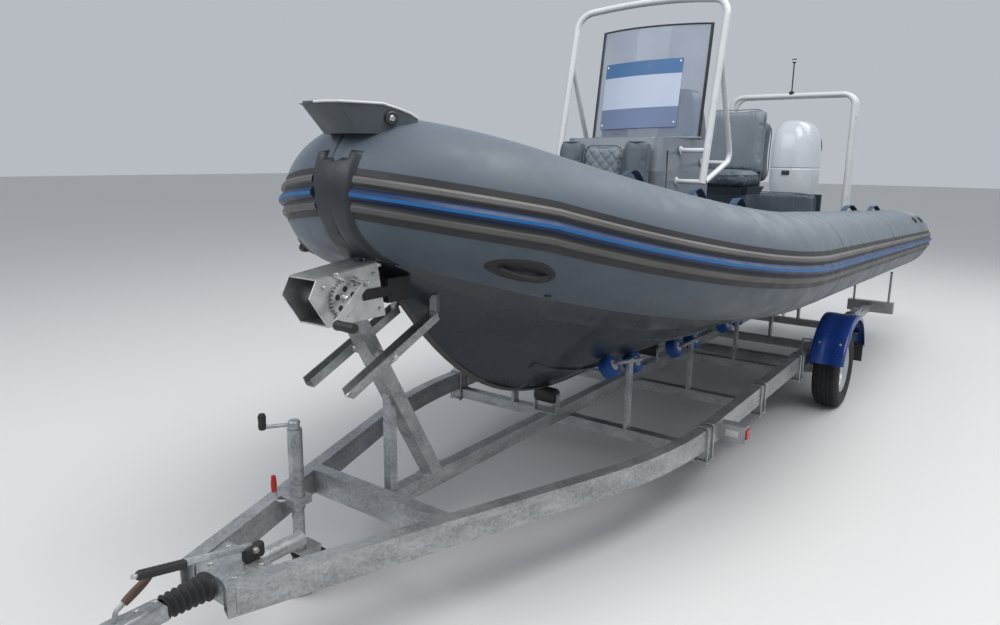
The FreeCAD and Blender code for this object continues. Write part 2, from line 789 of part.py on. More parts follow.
def bow_step():
    """The moulded step: wider at its top than at its foot, its back sloping down to the tube."""
    top = size("step_top")
    foot = top - size("step_depth")
    wires = []
    for z, outline in (
        (foot, ((3962, 66), (3942, 92), (3860, 140), (3780, 190), (3640, 200))),
        (top, ((4062, 62), (4042, 102), (3876, 152), (3780, 200), (3640, 205))),
    ):
        port = [point(x, y, z) for x, y in outline]
        starboard = [point(x, -y, z) for x, y in reversed(outline)]
        wires.append(Part.makePolygon(port + starboard + port[:1]))
    body = Part.makeLoft(wires, True, True)
    slope = polygon_prism([
        point(3850, -300, top), point(3600, -300, top - 100), point(3600, -300, top + 60), point(3850, -300, top + 60),
    ], Vector(0, 600, 0))
    return clear_of_tube(body.cut(slope), CLEAR_CHAMBERS[1:])


node(shaped("bow_step", bow_step()), "bow_step")


# Rollers under the hull: rockers with two rollers on posts, and black rollers under the keel

KEEL_ROLLERS = (2480, 1150, -100, -1300)


def roller_place(x, side):
    """Centre and slope of a side roller that carries the hull at x."""
    half, height = chine_at(x)
    angle = math.atan2(height - keel_at(x), half)
    rise = math.atan2(bottom_at(x + 50, size("roller_half")) - bottom_at(x - 50, size("roller_half")), 100)
    reach = (size("roller_radius") + size("roller_gap")) / math.cos(rise) + size("roller_gap")
    surface = bottom_at(x, size("roller_half"))
    centre = point(x, side * (size("roller_half") + reach * math.sin(angle)), surface - reach * math.cos(angle))
    along = Vector(0, side * math.cos(angle), math.sin(angle))
    return centre, along


def side_rollers():
    rollers = []
    for middle in ROCKERS:
        for offset in (-0.5, 0.5):
            for side in (1, -1):
                centre, along = roller_place(middle + offset * size("roller_pair"), side)
                length = size("roller_length")
                body = Part.makeCylinder(size("roller_radius"), length, centre - along * (length / 2), along)
                bore = Part.makeCylinder(8.3, length + 2, centre - along * (length / 2 + 1), along)
                rollers.append(body.cut(bore))
    return Part.makeCompound(rollers)


node(shaped("side_rollers", side_rollers()), "side_rollers")


def roller_carriers():
    """Posts on the cross beams' line, rockers between the rollers and their pins."""
    carriers = []
    for middle in ROCKERS:
        for side in (1, -1):
            places = [roller_place(middle + offset * size("roller_pair"), side) for offset in (-0.5, 0.5)]
            length = size("roller_length")
            ends = []
            pieces = []
            for centre, along in places:
                pin_length = length + 44
                pieces.append(Part.makeCylinder(8, pin_length, centre - along * (length / 2 + 8), along))
                ends.append(centre + along * (length / 2 + 26))
            rocker = Part.makeCylinder(12, (ends[1] - ends[0]).Length, ends[0], ends[1] - ends[0])
            pieces.append(rocker)
            hinge = (ends[0] + ends[1]) * 0.5
            foot = size("rail_bottom")
            post = Part.makeBox(50, 20, hinge.z - foot + 14, point(hinge.x - 25, hinge.y - 10, foot))
            pieces.append(post)
            carriers.append(pieces[0].fuse(pieces[1:]).removeSplitter())
    for x in KEEL_ROLLERS:
        radius = size("keel_roller_radius")
        top = keel_at(x)
        length = size("keel_roller_length")
        centre = point(x, 0, top - radius - size("roller_gap") - 1)
        pieces = [Part.makeCylinder(8, length + 30, centre - Vector(0, length / 2 + 15, 0), Vector(0, 1, 0))]
        base = size("rail_bottom") + size("keel_beam_depth")
        for side in (1, -1):
            y = side * (length / 2 + 8)
            pieces.append(Part.makeBox(36, 6, centre.z + 18 - base, point(x - 18, y - 3, base)))
        pieces.append(Part.makeBox(36, length + 22, 6, point(x - 18, -length / 2 - 11, base)))
        carriers.append(pieces[0].fuse(pieces[1:]).removeSplitter())
    return Part.makeCompound(carriers)


node(shaped("roller_carriers", roller_carriers()), "roller_carriers")


def keel_rollers():
    rollers = []
    for x in KEEL_ROLLERS:
        radius = size("keel_roller_radius")
        length = size("keel_roller_length")
        centre = point(x, -length / 2, keel_at(x) - radius - size("roller_gap") - 1)
        body = Part.makeCylinder(radius, length, centre, Vector(0, 1, 0))
        rollers.append(body.cut(Part.makeCylinder(8.3, length, centre, Vector(0, 1, 0))))
    return Part.makeCompound(rollers)


node(shaped("keel_rollers", keel_rollers()), "keel_rollers")


def bar(start, end, width, height):
    """A straight bar of rectangular section between two points; width lies across the boat."""
    along = (end - start).normalize()
    side = Vector(0, 1, 0) if abs(along.y) < 0.9 else Vector(1, 0, 0)
    side = (side - along * side.dot(along)).normalize()
    up = along.cross(side)
    corners = [
        start + side * (a * width / 2) + up * (b * height / 2)
        for a, b in ((1, 1), (-1, 1), (-1, -1), (1, -1))
    ]
    return polygon_prism(corners, end - start)


def stub(start, end, radius):
    """A straight round bar between two points."""
    return Part.makeCylinder(radius, (end - start).Length, start, end - start)


def joined(pieces):
    return pieces[0].fuse(pieces[1:]).removeSplitter()


# Winch post, its strut, the winch in its frame and the rubber bow stop

POST_ALONG = Vector(math.sin(math.radians(size("post_lean"))), 0, math.cos(math.radians(size("post_lean"))))
BEAM_TOP = size("rail_bottom") + size("keel_beam_depth")
POST_FOOT = point(size("post_foot"), 0, BEAM_TOP)
POST_TOP = POST_FOOT + POST_ALONG * size("post_length")


def winch_post():
    below = POST_FOOT - POST_ALONG * 60
    post = bar(below, POST_TOP + POST_ALONG * 60, size("post_width") + 20, size("post_width"))
    post = post.cut(Part.makeBox(600, 400, 400, point(3200, -200, BEAM_TOP - 400)))
    post = post.cut(Part.makeBox(600, 400, 400, point(3600, -200, POST_TOP.z)))
    strut_x = 3700
    strut_top = POST_FOOT + POST_ALONG * 530
    strut = Part.makeBox(40, 40, strut_top.z - BEAM_TOP - 20, point(strut_x, -20, BEAM_TOP))
    plate = Part.makeBox(160, 60, 6, point(POST_FOOT.x - 90, -30, BEAM_TOP))
    return joined([post, strut, plate])


node(shaped("winch_post", winch_post()), "winch_post")


def gear_wheel(centre, teeth, root, tip, width):
    """A spur gear of straight teeth on an axis across the boat."""
    outline = []
    for tooth in range(teeth):
        for share, radius in ((-0.32, root), (-0.16, tip), (0.16, tip), (0.32, root)):
            angle = 2 * math.pi * (tooth + share) / teeth
            outline.append(centre + Vector(math.sin(angle) * radius, 0, math.cos(angle) * radius))
    return polygon_prism(outline, Vector(0, width, 0))


def winch():
    """Drum with its gear and pinion between two cheeks, bolted on the post."""
    base = POST_TOP
    cheek = size("winch_cheek")
    inner = size("winch_half")
    outline = [
        point(base.x - 100, 0, base.z), point(base.x + 190, 0, base.z),
        point(base.x + 270, 0, base.z + 118), point(base.x + 236, 0, base.z + 180),
        point(base.x - 60, 0, base.z + 214),
    ]
    plates = []
    for y in (-inner - cheek, inner):
        plates.append(polygon_prism([corner + Vector(0, y, 0) for corner in outline], Vector(0, cheek, 0)))
    floor_plate = Part.makeBox(290, 2 * inner, cheek, point(base.x - 100, -inner, base.z))
    top_plate = bar(point(base.x + 237, 0, base.z + 181), point(base.x - 62, 0, base.z + 215), 2 * inner, cheek)
    drum_centre = point(base.x + 118, 0, base.z + 98)
    drum = Part.makeCylinder(34, 2 * inner, drum_centre - Vector(0, inner, 0), Vector(0, 1, 0))
    gear_side = drum_centre + Vector(0, inner + cheek, 0)
    gear = gear_wheel(gear_side, 28, 60, 68, 14)
    pinion_side = gear_side + Vector(-64, 0, 55)
    pinion = gear_wheel(pinion_side, 7, 11.5, 19, 14)
    shaft = Part.makeCylinder(9, 66, pinion_side, Vector(0, 1, 0))
    crank_start = pinion_side + Vector(0, 56, 0)
    crank_end = crank_start + Vector(150, 0, -130)
    crank = bar(crank_start, crank_end, 10, 26)
    grip = Part.makeCylinder(14, 100, crank_end, Vector(0, 1, 0))
    return joined(plates + [floor_plate, top_plate, drum, gear, pinion, shaft, crank, grip])


node(shaped("winch", winch()), "winch")


def bow_stop():
    """A rubber block that hugs the stem, on an arm from the winch frame."""
    z = 1310
    stem_x = size("rise_start") + size("rise_length") * ((z - size("keel_height")) / size("rise_height")) ** (1 / 3)
    block = Part.makeBox(125, 170, 96, point(stem_x - 40, -85, z - 48))
    pieces = [block]
    for low in (-85, 78.3):
        pieces.append(Part.makeBox(150, 6.7, 40, point(stem_x + 60, low, z - 20)))
    return joined(pieces).cut(HULL)


node(shaped("bow_stop", bow_stop()), "bow_stop")

# Two arms with pads that steady the bow
def bow_arm():
    """The port arm, its fixing to the post and the pad under the hull's flank."""
    arm = bar(point(4046, 112, 959), point(3560, 112, 1176), 50, 40)
    fixing = stub(point(3827, 40.3, 1057), point(3827, 90, 1057), 16)
    pad = Part.makeBox(50, 40, 110, point(3540, 92, 1185))
    return joined([arm, fixing, pad]).cut(HULL)


node(shaped("bow_arms", Part.makeCompound([bow_arm(), mirrored(bow_arm())])), "bow_arms")


# Coupling: overrun tube with its bellows, mount and head

COUPLING_HEIGHT = 404


def coupling():
    tube_back = 4200
    head = size("coupling_reach")
    tube = Part.makeCylinder(30, head - 190 - tube_back, point(tube_back, 0, COUPLING_HEIGHT), Vector(1, 0, 0))
    profile = [point(4600, 0, 0), point(4600, 0, 46)]
    for ridge in range(6):
        profile.append(point(4608 + ridge * 24, 0, 46 - (ridge % 2) * 8))
        profile.append(point(4620 + ridge * 24, 0, 46 - (ridge % 2) * 8))
    profile += [point(4750, 0, 34), point(4750, 0, 0)]
    bellows = Part.Face(Part.makePolygon(profile + profile[:1])).revolve(Vector(), Vector(1, 0, 0), 360)
    bellows.translate(Vector(0, 0, COUPLING_HEIGHT))
    mount = polygon_prism([
        point(4420, drawbar_inner(4420), 352), point(4585, drawbar_inner(4585), 352),
        point(4585, -drawbar_inner(4585), 352), point(4420, -drawbar_inner(4420), 352),
    ], Vector(0, 0, 96))
    outline = [
        point(4750, -32, COUPLING_HEIGHT - 30), point(head - 90, -32, COUPLING_HEIGHT - 30),
        point(head - 70, -40, COUPLING_HEIGHT - 30), point(head - 24, -40, COUPLING_HEIGHT - 30),
        point(head, -22, COUPLING_HEIGHT - 30), point(head, 22, COUPLING_HEIGHT - 30),
        point(head - 24, 40, COUPLING_HEIGHT - 30), point(head - 70, 40, COUPLING_HEIGHT - 30),
        point(head - 90, 32, COUPLING_HEIGHT - 30), point(4750, 32, COUPLING_HEIGHT - 30),
    ]
    head_block = polygon_prism(outline, Vector(0, 0, 62))
    socket = Part.makeSphere(size("ball_socket"), point(head - 46, 0, COUPLING_HEIGHT - 10))
    mouth = Part.makeCylinder(size("ball_socket"), 40, point(head - 46, 0, COUPLING_HEIGHT - 50))
    head_block = head_block.cut([socket, mouth])
    lever = joined([
        stub(point(head - 120, 0, COUPLING_HEIGHT + 30), point(head - 100, 0, COUPLING_HEIGHT + 80), 9),
        stub(point(head - 100, 0, COUPLING_HEIGHT + 80), point(head - 20, 0, COUPLING_HEIGHT + 96), 12),
    ])
    return joined([tube, bellows, mount, head_block, lever])


node(shaped("coupling", coupling()), "coupling")


def handbrake():
    base = Part.makeBox(90, 30, 60, point(4400, 34, 448))
    lever = bar(point(4445, 49, 492), point(4760, 49, 560), 12, 26)
    grip = stub(point(4700, 49, 547), point(4840, 49, 577), 15)
    return joined([base, lever, grip])


node(shaped("handbrake", handbrake()), "handbrake")


# Jockey wheel: clamp and outer tube on the drawbar, inner tube, fork and wheel

JOCKEY_X = size("drawbar_front") - size("jockey_setback")
JOCKEY_Y = size("jockey_gap") + size("jockey_tube") - drawbar_inner(JOCKEY_X)


def jockey_clamp():
    radius = size("jockey_tube")
    tube = Part.makeCylinder(radius, 345, point(JOCKEY_X, JOCKEY_Y, 400))
    bore = Part.makeCylinder(size("jockey_leg") + 0.6, 312, point(JOCKEY_X, JOCKEY_Y, 400))
    cap = Part.makeCylinder(22, 26, point(JOCKEY_X, JOCKEY_Y, 745))
    crank = stub(point(JOCKEY_X, JOCKEY_Y, 764), point(JOCKEY_X + 100, JOCKEY_Y - 70, 764), 8)
    knob = Part.makeCylinder(11, 60, point(JOCKEY_X + 100, JOCKEY_Y - 70, 756))
    outline = [
        point(JOCKEY_X - 45, -drawbar_inner(JOCKEY_X - 45), 420),
        point(JOCKEY_X + 45, -drawbar_inner(JOCKEY_X + 45), 420),
        point(JOCKEY_X + 45, JOCKEY_Y + 36, 420),
        point(JOCKEY_X - 45, JOCKEY_Y + 36, 420),
    ]
    clamp = polygon_prism(outline, Vector(0, 0, 34))
    return joined([tube, clamp, cap, crank, knob]).cut(bore)


node(shaped("jockey_clamp", jockey_clamp()), "jockey_clamp")

FORK_TOP = 2 * size("jockey_wheel") + 22


def jockey_stem():
    leg = Part.makeCylinder(size("jockey_leg"), 355, point(JOCKEY_X, JOCKEY_Y, FORK_TOP))
    pivot = Part.makeCylinder(12, 16, point(JOCKEY_X, JOCKEY_Y, FORK_TOP - 16))
    return joined([leg, pivot])


node(shaped("jockey_leg", jockey_stem()), "jockey_leg")


def jockey_fork():
    tread = size("jockey_tread")
    centre_x = JOCKEY_X - size("jockey_trail")
    top = Part.makeBox(110, tread + 28, 7, point(centre_x - 30, JOCKEY_Y - tread / 2 - 14, FORK_TOP - 8.5))
    top = top.cut(Part.makeCylinder(12.5, 20, point(JOCKEY_X, JOCKEY_Y, FORK_TOP - 18)))
    legs = []
    for side in (1, -1):
        y = JOCKEY_Y + side * (tread / 2 + 9) - 5
        outline = [
            point(centre_x - 30, y, FORK_TOP - 4), point(centre_x + 80, y, FORK_TOP - 4),
            point(centre_x + 18, y, size("jockey_wheel") - 16), point(centre_x - 18, y, size("jockey_wheel") - 16),
        ]
        legs.append(polygon_prism(outline, Vector(0, 10, 0)))
    pin = Part.makeCylinder(8, tread + 36, point(centre_x, JOCKEY_Y - tread / 2 - 18, size("jockey_wheel")), Vector(0, 1, 0))
    return joined([top] + legs + [pin])


node(shaped("jockey_fork", jockey_fork()), "jockey_fork")


def jockey_wheel():
    tread = size("jockey_tread")
    centre = point(JOCKEY_X - size("jockey_trail"), JOCKEY_Y - tread / 2, size("jockey_wheel"))
    body = Part.makeCylinder(size("jockey_wheel"), tread, centre, Vector(0, 1, 0))
    return body.cut(Part.makeCylinder(8.5, tread, centre, Vector(0, 1, 0)))


node(shaped("jockey_wheel", jockey_wheel()), "jockey_wheel")


# Lamps: marker brackets ahead of the wheels and lamp carriers at the back

def lamp_brackets():
    pieces = []
    for side in (1, -1):
        outer = size("rail_half")
        front_plate = Part.makeBox(70, 140, 90, point(2030, 0, 352))
        front_plate = front_plate.cut(Part.makeBox(64, 200, 84, point(2030, -10, 346)))
        front_plate.translate(Vector(0, outer if side > 0 else -outer - 140, 0))
        pieces.append(front_plate)
        reach = 2350
        boom = Part.makeBox(reach - size("rail_back"), 60, 60, point(-reach, 0, 344))
        boom.translate(Vector(0, side * (outer - 30) - 30, 0))
        carrier = Part.makeBox(70, 420, 110, point(-reach, 0, 330))
        carrier.translate(Vector(0, 640 if side > 0 else -1060, 0))
        pieces.append(joined([boom, carrier]))
    return Part.makeCompound(pieces)


node(shaped("lamp_carriers", lamp_brackets()), "lamp_carriers")


# Console with its forward seat, the dash pod and the smoked screen

HELM_CENTRE = point(1005, 60, 2010)
HELM_AXIS = Vector(math.cos(math.radians(25)), 0, -math.sin(math.radians(25)))


def console():
    back, front, half = size("console_back"), size("console_front"), size("console_half")
    deck = size("deck_height")
    body = tower([
        (deck, back, front, half, 50),
        (1760, back, front - 10, half, 60),
        (size("console_top") - 40, back + 10, front - 60, half - 15, 70),
    ])
    pod = tower([
        (size("console_top") - 40, back + 20, back + 330, half - 25, 60),
        (2250, back + 110, back + 300, half - 55, 60),
    ])
    seat = tower([
        (deck, front - 20, front + 330, half - 20, 50),
        (1395, front - 20, front + 350, half - 10, 60),
    ])
    boss = Part.makeCylinder(34, 75, HELM_CENTRE + HELM_AXIS * 45, HELM_AXIS)
    bore = Part.makeCylinder(14.5, 60, HELM_CENTRE + HELM_AXIS * 40, HELM_AXIS)
    return joined([body, pod, seat, boss]).cut(bore)


CONSOLE = console()
node(shaped("console", CONSOLE), "console")


def console_cushions():
    front = size("console_front")
    half = size("console_half")
    cushion = tower([
        (1395.3, front + 10, front + 345, half - 14, 60),
        (1470, front + 10, front + 350, half - 10, 60),
        (1500, front + 14, front + 330, half - 30, 50),
    ])
    pieces = [cushion]
    for low, high in ((-half + 12, -128), (-122, 122), (128, half - 12)):
        pieces.append(polygon_prism([
            point(front - 60, low, 1512), point(front + 90, low, 1512),
            point(front + 50, low, 1935), point(front - 60, low, 1935),
        ], Vector(0, high - low, 0)).cut(CONSOLE))
    return Part.makeCompound(pieces)


node(shaped("console_cushions", console_cushions()), "console_cushions")


def windscreen():
    """A sheet curved in plan that leans back."""
    low = size("console_top") - 40 + 0.3
    half = 375
    bow = 95
    wall = 6
    radius = (half ** 2 + bow ** 2) / (2 * bow)
    centre_x = 1390 + bow - radius

    def rim(r):
        angle = math.asin(half / radius)
        start = point(centre_x + r * math.cos(angle), r * math.sin(angle), low)
        end = point(centre_x + r * math.cos(angle), -r * math.sin(angle), low)
        return Part.Arc(start, point(centre_x + r, 0, low), end).toShape(), start, end

    outer, outer_start, outer_end = rim(radius)
    inner, inner_start, inner_end = rim(radius - wall)
    face = Part.Face(Part.Wire([
        outer, Part.makeLine(outer_end, inner_end), inner, Part.makeLine(inner_start, outer_start)]))
    return face.extrude(Vector(-115, 0, 690))


node(shaped("windscreen", windscreen()), "windscreen")


def console_hoop():
    half, radius = size("hoop_half"), size("hoop_radius")
    top = size("hoop_top")
    corners = [
        point(1640, half, 1690), point(1400, half, top + 34), point(1262, 0, 2822),
        point(1400, -half, top + 34), point(1640, -half, 1690),
    ]
    pieces = [tube_along(corners, [120, 1100, 120], radius)]
    for side in (1, -1):
        y = side * half
        brace = [point(1462, y, 2420), point(1190, y, 1830), point(1600, y, 1700)]
        pieces.append(tube_along(brace, [60], radius * 0.8))
        for x, z in ((1600, 1880), (1257, 1809), (1640, 1700)):
            inner = side * (size("console_half") + 0.3)
            pieces.append(stub(point(x, y, z), point(x, inner, z), radius * 0.7))
    return joined(pieces)


node(shaped("console_hoop", console_hoop()), "console_hoop")


# Steering wheel on its shaft

def helm_wheel():
    radius = size("helm_radius")
    ring = Part.makeTorus(radius - 14, 14, HELM_CENTRE, HELM_AXIS)
    hub = Part.makeCylinder(38, 24, HELM_CENTRE - HELM_AXIS * 4, HELM_AXIS)
    across = Vector(0, 1, 0)
    up = HELM_AXIS.cross(across).normalize()
    pieces = [ring, hub]
    for angle in (90, 210, 330):
        out = across * math.cos(math.radians(angle)) + up * math.sin(math.radians(angle))
        pieces.append(stub(HELM_CENTRE + HELM_AXIS * 8 + out * 20, HELM_CENTRE + out * (radius - 16), 9))
    shaft = Part.makeCylinder(14, 85, HELM_CENTRE + HELM_AXIS * 10, HELM_AXIS)
    return joined(pieces + [shaft])


node(shaped("helm_wheel", helm_wheel()), "helm_wheel")


def throttle():
    box_part = Part.makeBox(110, 90, 90, point(1020, -270, 1870)).cut(CONSOLE)
    lever = stub(point(1040, -225, 1960), point(1020, -225, 2110), 10)
    knob = Part.makeCylinder(16, 70, point(1020, -260, 2112), Vector(0, 1, 0))
    return joined([box_part, lever, knob])


node(shaped("throttle", throttle()), "throttle")


# Helm seat on its pod

def seat_pod():
    half = size("seat_half")
    deck = size("deck_height")
    pod = tower([
        (deck, -330, 60, half - 40, 50),
        (1560, -360, 90, half - 20, 60),
        (1620, -400, 110, half, 60),
    ])
    spine = bar(point(-410, 0, 1560), point(-440, 0, 2080), 2 * half - 120, 36)
    return joined([pod, spine])


node(shaped("helm_seat_pod", seat_pod()), "helm_seat_pod")


def leaning_pad(x, z_low, z_high, thick, half, lean):
    """A back cushion with round upper corners that leans back."""
    radius = 110
    low, high = z_low, z_high
    arc_port = Part.Arc(point(x, half, high - radius), point(x, half - radius * 0.293, high - radius * 0.293),
                        point(x, half - radius, high)).toShape()
    arc_starboard = Part.Arc(point(x, radius - half, high), point(x, radius * 0.293 - half, high - radius * 0.293),
                             point(x, -half, high - radius)).toShape()
    outline = Part.Wire([
        Part.makeLine(point(x, -half, low), point(x, half, low)),
        Part.makeLine(point(x, half, low), point(x, half, high - radius)),
        arc_port,
        Part.makeLine(point(x, half - radius, high), point(x, radius - half, high)),
        arc_starboard,
        Part.makeLine(point(x, -half, high - radius), point(x, -half, low)),
    ])
    pad = Part.Face(outline).extrude(Vector(thick, 0, 0))
    pad.rotate(point(x, 0, low), Vector(0, 1, 0), -lean)
    return pad


def seat_cushions():
    half = size("seat_half")
    cushion = tower([
        (1620.3, -330, 120, half - 6, 60),
        (1700, -330, 130, half, 70),
        (1740, -320, 110, half - 30, 60),
    ])
    front_pad = leaning_pad(-388, 1700, 2250, 100, half, 3.3)
    front_pad = front_pad.cut(cushion)
    rear_pad = leaning_pad(-520, 1640, 2150, 90, half - 10, 3.3)
    blocked = bar(point(-410, 0, 1560), point(-440, 0, 2080), 2 * half - 119, 36.6)
    return Part.makeCompound([cushion, front_pad.cut(blocked), rear_pad.cut(blocked)])


node(shaped("helm_seat_cushions", seat_cushions()), "helm_seat_cushions")


# Stern bench: an open locker with a hinged lid, cushions and a back rest

BENCH_BACK, BENCH_FRONT, BENCH_HALF, BENCH_TOP = -1040, -650, 560, 1265


def bench_locker():
    deck = size("deck_height")
    outer = Part.makeBox(BENCH_FRONT - BENCH_BACK, 2 * BENCH_HALF, BENCH_TOP - deck,
                         point(BENCH_BACK, -BENCH_HALF, deck))
    inner = Part.makeBox(BENCH_FRONT - BENCH_BACK - 40, 2 * BENCH_HALF - 40, BENCH_TOP - deck,
                         point(BENCH_BACK + 20, -BENCH_HALF + 20, deck + 15))
    rest = Part.makeBox(30, 2 * BENCH_HALF, 1540 - deck, point(BENCH_BACK - 30, -BENCH_HALF, deck))
    return joined([outer.cut(inner), rest])


node(shaped("bench_locker", bench_locker()), "bench_locker")
lid = Part.makeBox(BENCH_FRONT - BENCH_BACK - 72, 2 * BENCH_HALF, 22, point(BENCH_BACK + 72, -BENCH_HALF, BENCH_TOP + 0.5))
node(shaped("bench_lid", lid), "bench_lid")
lid_pad = tower([
    (BENCH_TOP + 22.8, BENCH_BACK + 78, BENCH_FRONT - 6, BENCH_HALF - 8, 50),
    (BENCH_TOP + 75, BENCH_BACK + 78, BENCH_FRONT - 2, BENCH_HALF - 8, 50),
    (BENCH_TOP + 90, BENCH_BACK + 90, BENCH_FRONT - 18, BENCH_HALF - 26, 40),
])
node(shaped("bench_cushion", lid_pad), "bench_cushion")
back_pad = Part.makeBox(62, 2 * BENCH_HALF - 20, 260, point(BENCH_BACK + 0.3, 10 - BENCH_HALF, 1300))
node(shaped("bench_back_pad", back_pad), "bench_back_pad")


# Bow locker hatch on the sloping bow deck

HATCH_ANGLE = math.degrees(math.atan(DECK_SLOPE))
HATCH_HINGE = point(2990, 0, deck_at(2990) + FIT_GAP)
hatch = Part.makeBox(440, 440, 26, HATCH_HINGE - Vector(440, 220, 0))
hatch.rotate(HATCH_HINGE, Vector(0, 1, 0), -HATCH_ANGLE)
node(shaped("bow_hatch", hatch), "bow_hatch")


# Where the outboard hangs on the transom

TILT = point(-size("tilt_back"), 0, size("transom_top") + size("tilt_height"))
SWIVEL_X = -size("swivel_back")
CLAMP_LOW = size("transom_top") - 310
COWL_BOTTOM = TILT.z + size("cowl_lift")
SHAFT_Z = TILT.z - size("propeller_drop")


# Stern arch of two hoops and the light on its pole

def stern_arch():
    pieces = []
    radius, half = size("arch_radius"), size("arch_half")
    top = TILT.z + size("arch_top")
    front = size("arch_lead") - size("transom_back")
    back = front - size("arch_spacing")
    for x, foot in ((front, size("transom_top")), (back, PLATFORM_TOP)):
        corners = [point(x, half, foot), point(x, half, top), point(x, -half, top), point(x, -half, foot)]
        pieces.append(tube_along(corners, [110, 110], radius))
    for side in (1, -1):
        for z in (top - 955, top - 205):
            pieces.append(stub(point(front, side * half, z), point(back, side * half, z), 12))
    pole_base = top + radius
    pieces.append(Part.makeCylinder(26, 24, point(front, 0, pole_base - 14)))
    pieces.append(Part.makeCylinder(8, 290, point(front, 0, pole_base)))
    pieces.append(Part.makeCylinder(20, 42, point(front, 0, pole_base + 285)))
    return joined(pieces)


node(shaped("stern_arch", stern_arch()), "stern_arch")


# Outboard: clamp on the transom, swivel bracket, cowl, leg and propeller

def clamp_bracket():
    transom = -size("transom_back")
    pieces = []
    for low in (-148, 122):
        outline = [
            point(transom, low, CLAMP_LOW), point(transom, low, TILT.z + 45), point(TILT.x - 30, low, TILT.z + 45),
            point(TILT.x - 40, low, TILT.z - 45), point(TILT.x - 4, low, CLAMP_LOW),
        ]
        pieces.append(polygon_prism(outline, Vector(0, 26, 0)))
        pieces.append(Part.makeBox(130, 26, 14, point(transom, low, size("transom_top"))))
    pieces.append(Part.makeCylinder(16, 296, point(TILT.x, -148, TILT.z), Vector(0, 1, 0)))
    return joined(pieces)


node(shaped("outboard_clamp", clamp_bracket()), "outboard_clamp")


def swivel_bracket():
    tube = Part.makeCylinder(size("swivel_radius"), 500, point(SWIVEL_X, 0, TILT.z - 473))
    arm = polygon_prism([
        point(TILT.x - 26, -105, TILT.z - 60), point(TILT.x - 26, -105, TILT.z + 24),
        point(SWIVEL_X, -105, TILT.z + 24), point(SWIVEL_X, -105, TILT.z - 135),
    ], Vector(0, 210, 0))
    eye = Part.makeCylinder(32, 210, point(TILT.x, -105, TILT.z), Vector(0, 1, 0))
    bore = Part.makeCylinder(16.5, 240, point(TILT.x, -120, TILT.z), Vector(0, 1, 0))
    pin_hole = Part.makeCylinder(18.5, 520, point(SWIVEL_X, 0, TILT.z - 485))
    return joined([tube, arm, eye]).cut([bore, pin_hole])


node(shaped("outboard_swivel", swivel_bracket()), "outboard_swivel")


def outboard_leg():
    """Steering pin in its yokes, midsection, plate, gear case and skeg; heights count from the tilt tube."""
    z = TILT.z
    pin = Part.makeCylinder(18, 512, point(SWIVEL_X, 0, z - 479))
    plate_top = z - 723
    middle = tower([
        (plate_top - 2, -2330, -2160, 60, 40), (z - 525, -2340, -2156, 72, 50), (z + 35, -2400, -2156, 118, 60),
        (z + 37, -2420, -2156, 120, 60),
    ])
    lower_yoke = Part.makeBox(130, 90, 34, point(SWIVEL_X - 95, -45, z - 513))
    upper_yoke = Part.makeBox(160, 150, 60, point(SWIVEL_X - 105, -75, z + 33))
    tray = tower([(z + 91, -2540, -2010, 150, 90), (COWL_BOTTOM - 0.5, -2560, -1990, 185, 90)])
    neck = tower([(z + 35, -2440, -2050, 120, 60), (z + 93, -2480, -2030, 150, 80)])
    plate = tower([(plate_top - 14, -2560, -2150, 105, 60), (plate_top, -2570, -2150, 108, 60)])
    strut = tower([(SHAFT_Z, -2330, -2200, 22, 18), (plate_top, -2350, -2180, 30, 26)])
    torpedo = Part.makeCylinder(52, 300, point(-2450, 0, SHAFT_Z), Vector(1, 0, 0))
    nose = Part.makeSphere(52, point(-2150, 0, SHAFT_Z))
    shaft = Part.makeCylinder(size("propeller_shaft"), 85, point(-2535, 0, SHAFT_Z), Vector(1, 0, 0))
    skeg = polygon_prism([
        point(-2420, -7, SHAFT_Z - 40), point(-2200, -7, SHAFT_Z - 40),
        point(-2330, -7, SHAFT_Z - 190), point(-2400, -7, SHAFT_Z - 190),
    ], Vector(0, 14, 0))
    return joined([pin, middle, lower_yoke, upper_yoke, neck, tray, plate, strut, torpedo, nose, shaft, skeg])


node(shaped("outboard_leg", outboard_leg()), "outboard_leg")


def cowl():
    """The engine's cover through level sections, each a height above its bottom."""
    half = size("cowl_half")
    height = size("cowl_height")
    return tower([
        (COWL_BOTTOM, -2590, -1960, half - 15, 110),
        (COWL_BOTTOM + height * 0.166, -2640, -1935, half, 120),
        (COWL_BOTTOM + height * 0.549, -2620, -1925, half, 120),
        (COWL_BOTTOM + height * 0.817, -2560, -1940, half - 25, 110),
        (COWL_BOTTOM + height * 0.945, -2480, -1975, half - 70, 90),
        (COWL_BOTTOM + height, -2400, -2030, half - 110, 70),
    ])


node(shaped("outboard_cowl", cowl()), "outboard_cowl")


def propeller():
    hub = Part.makeCylinder(42, 110, point(-2564, 0, SHAFT_Z), Vector(1, 0, 0))
    blades = []
    for count in range(3):
        blade = Part.makeBox(70, 14, size("propeller_radius") - 30, point(-2550, -7, SHAFT_Z + 30))
        blade.rotate(point(-2515, 0, SHAFT_Z), Vector(0, 0, 1), 30)
        blade.rotate(point(-2515, 0, SHAFT_Z), Vector(1, 0, 0), 120 * count)
        blades.append(blade)
    bore = Part.makeCylinder(size("propeller_shaft") + FIT_GAP, 86, point(-2540, 0, SHAFT_Z), Vector(1, 0, 0))
    return joined([hub] + blades).cut(bore)


node(shaped("propeller", propeller()), "propeller")

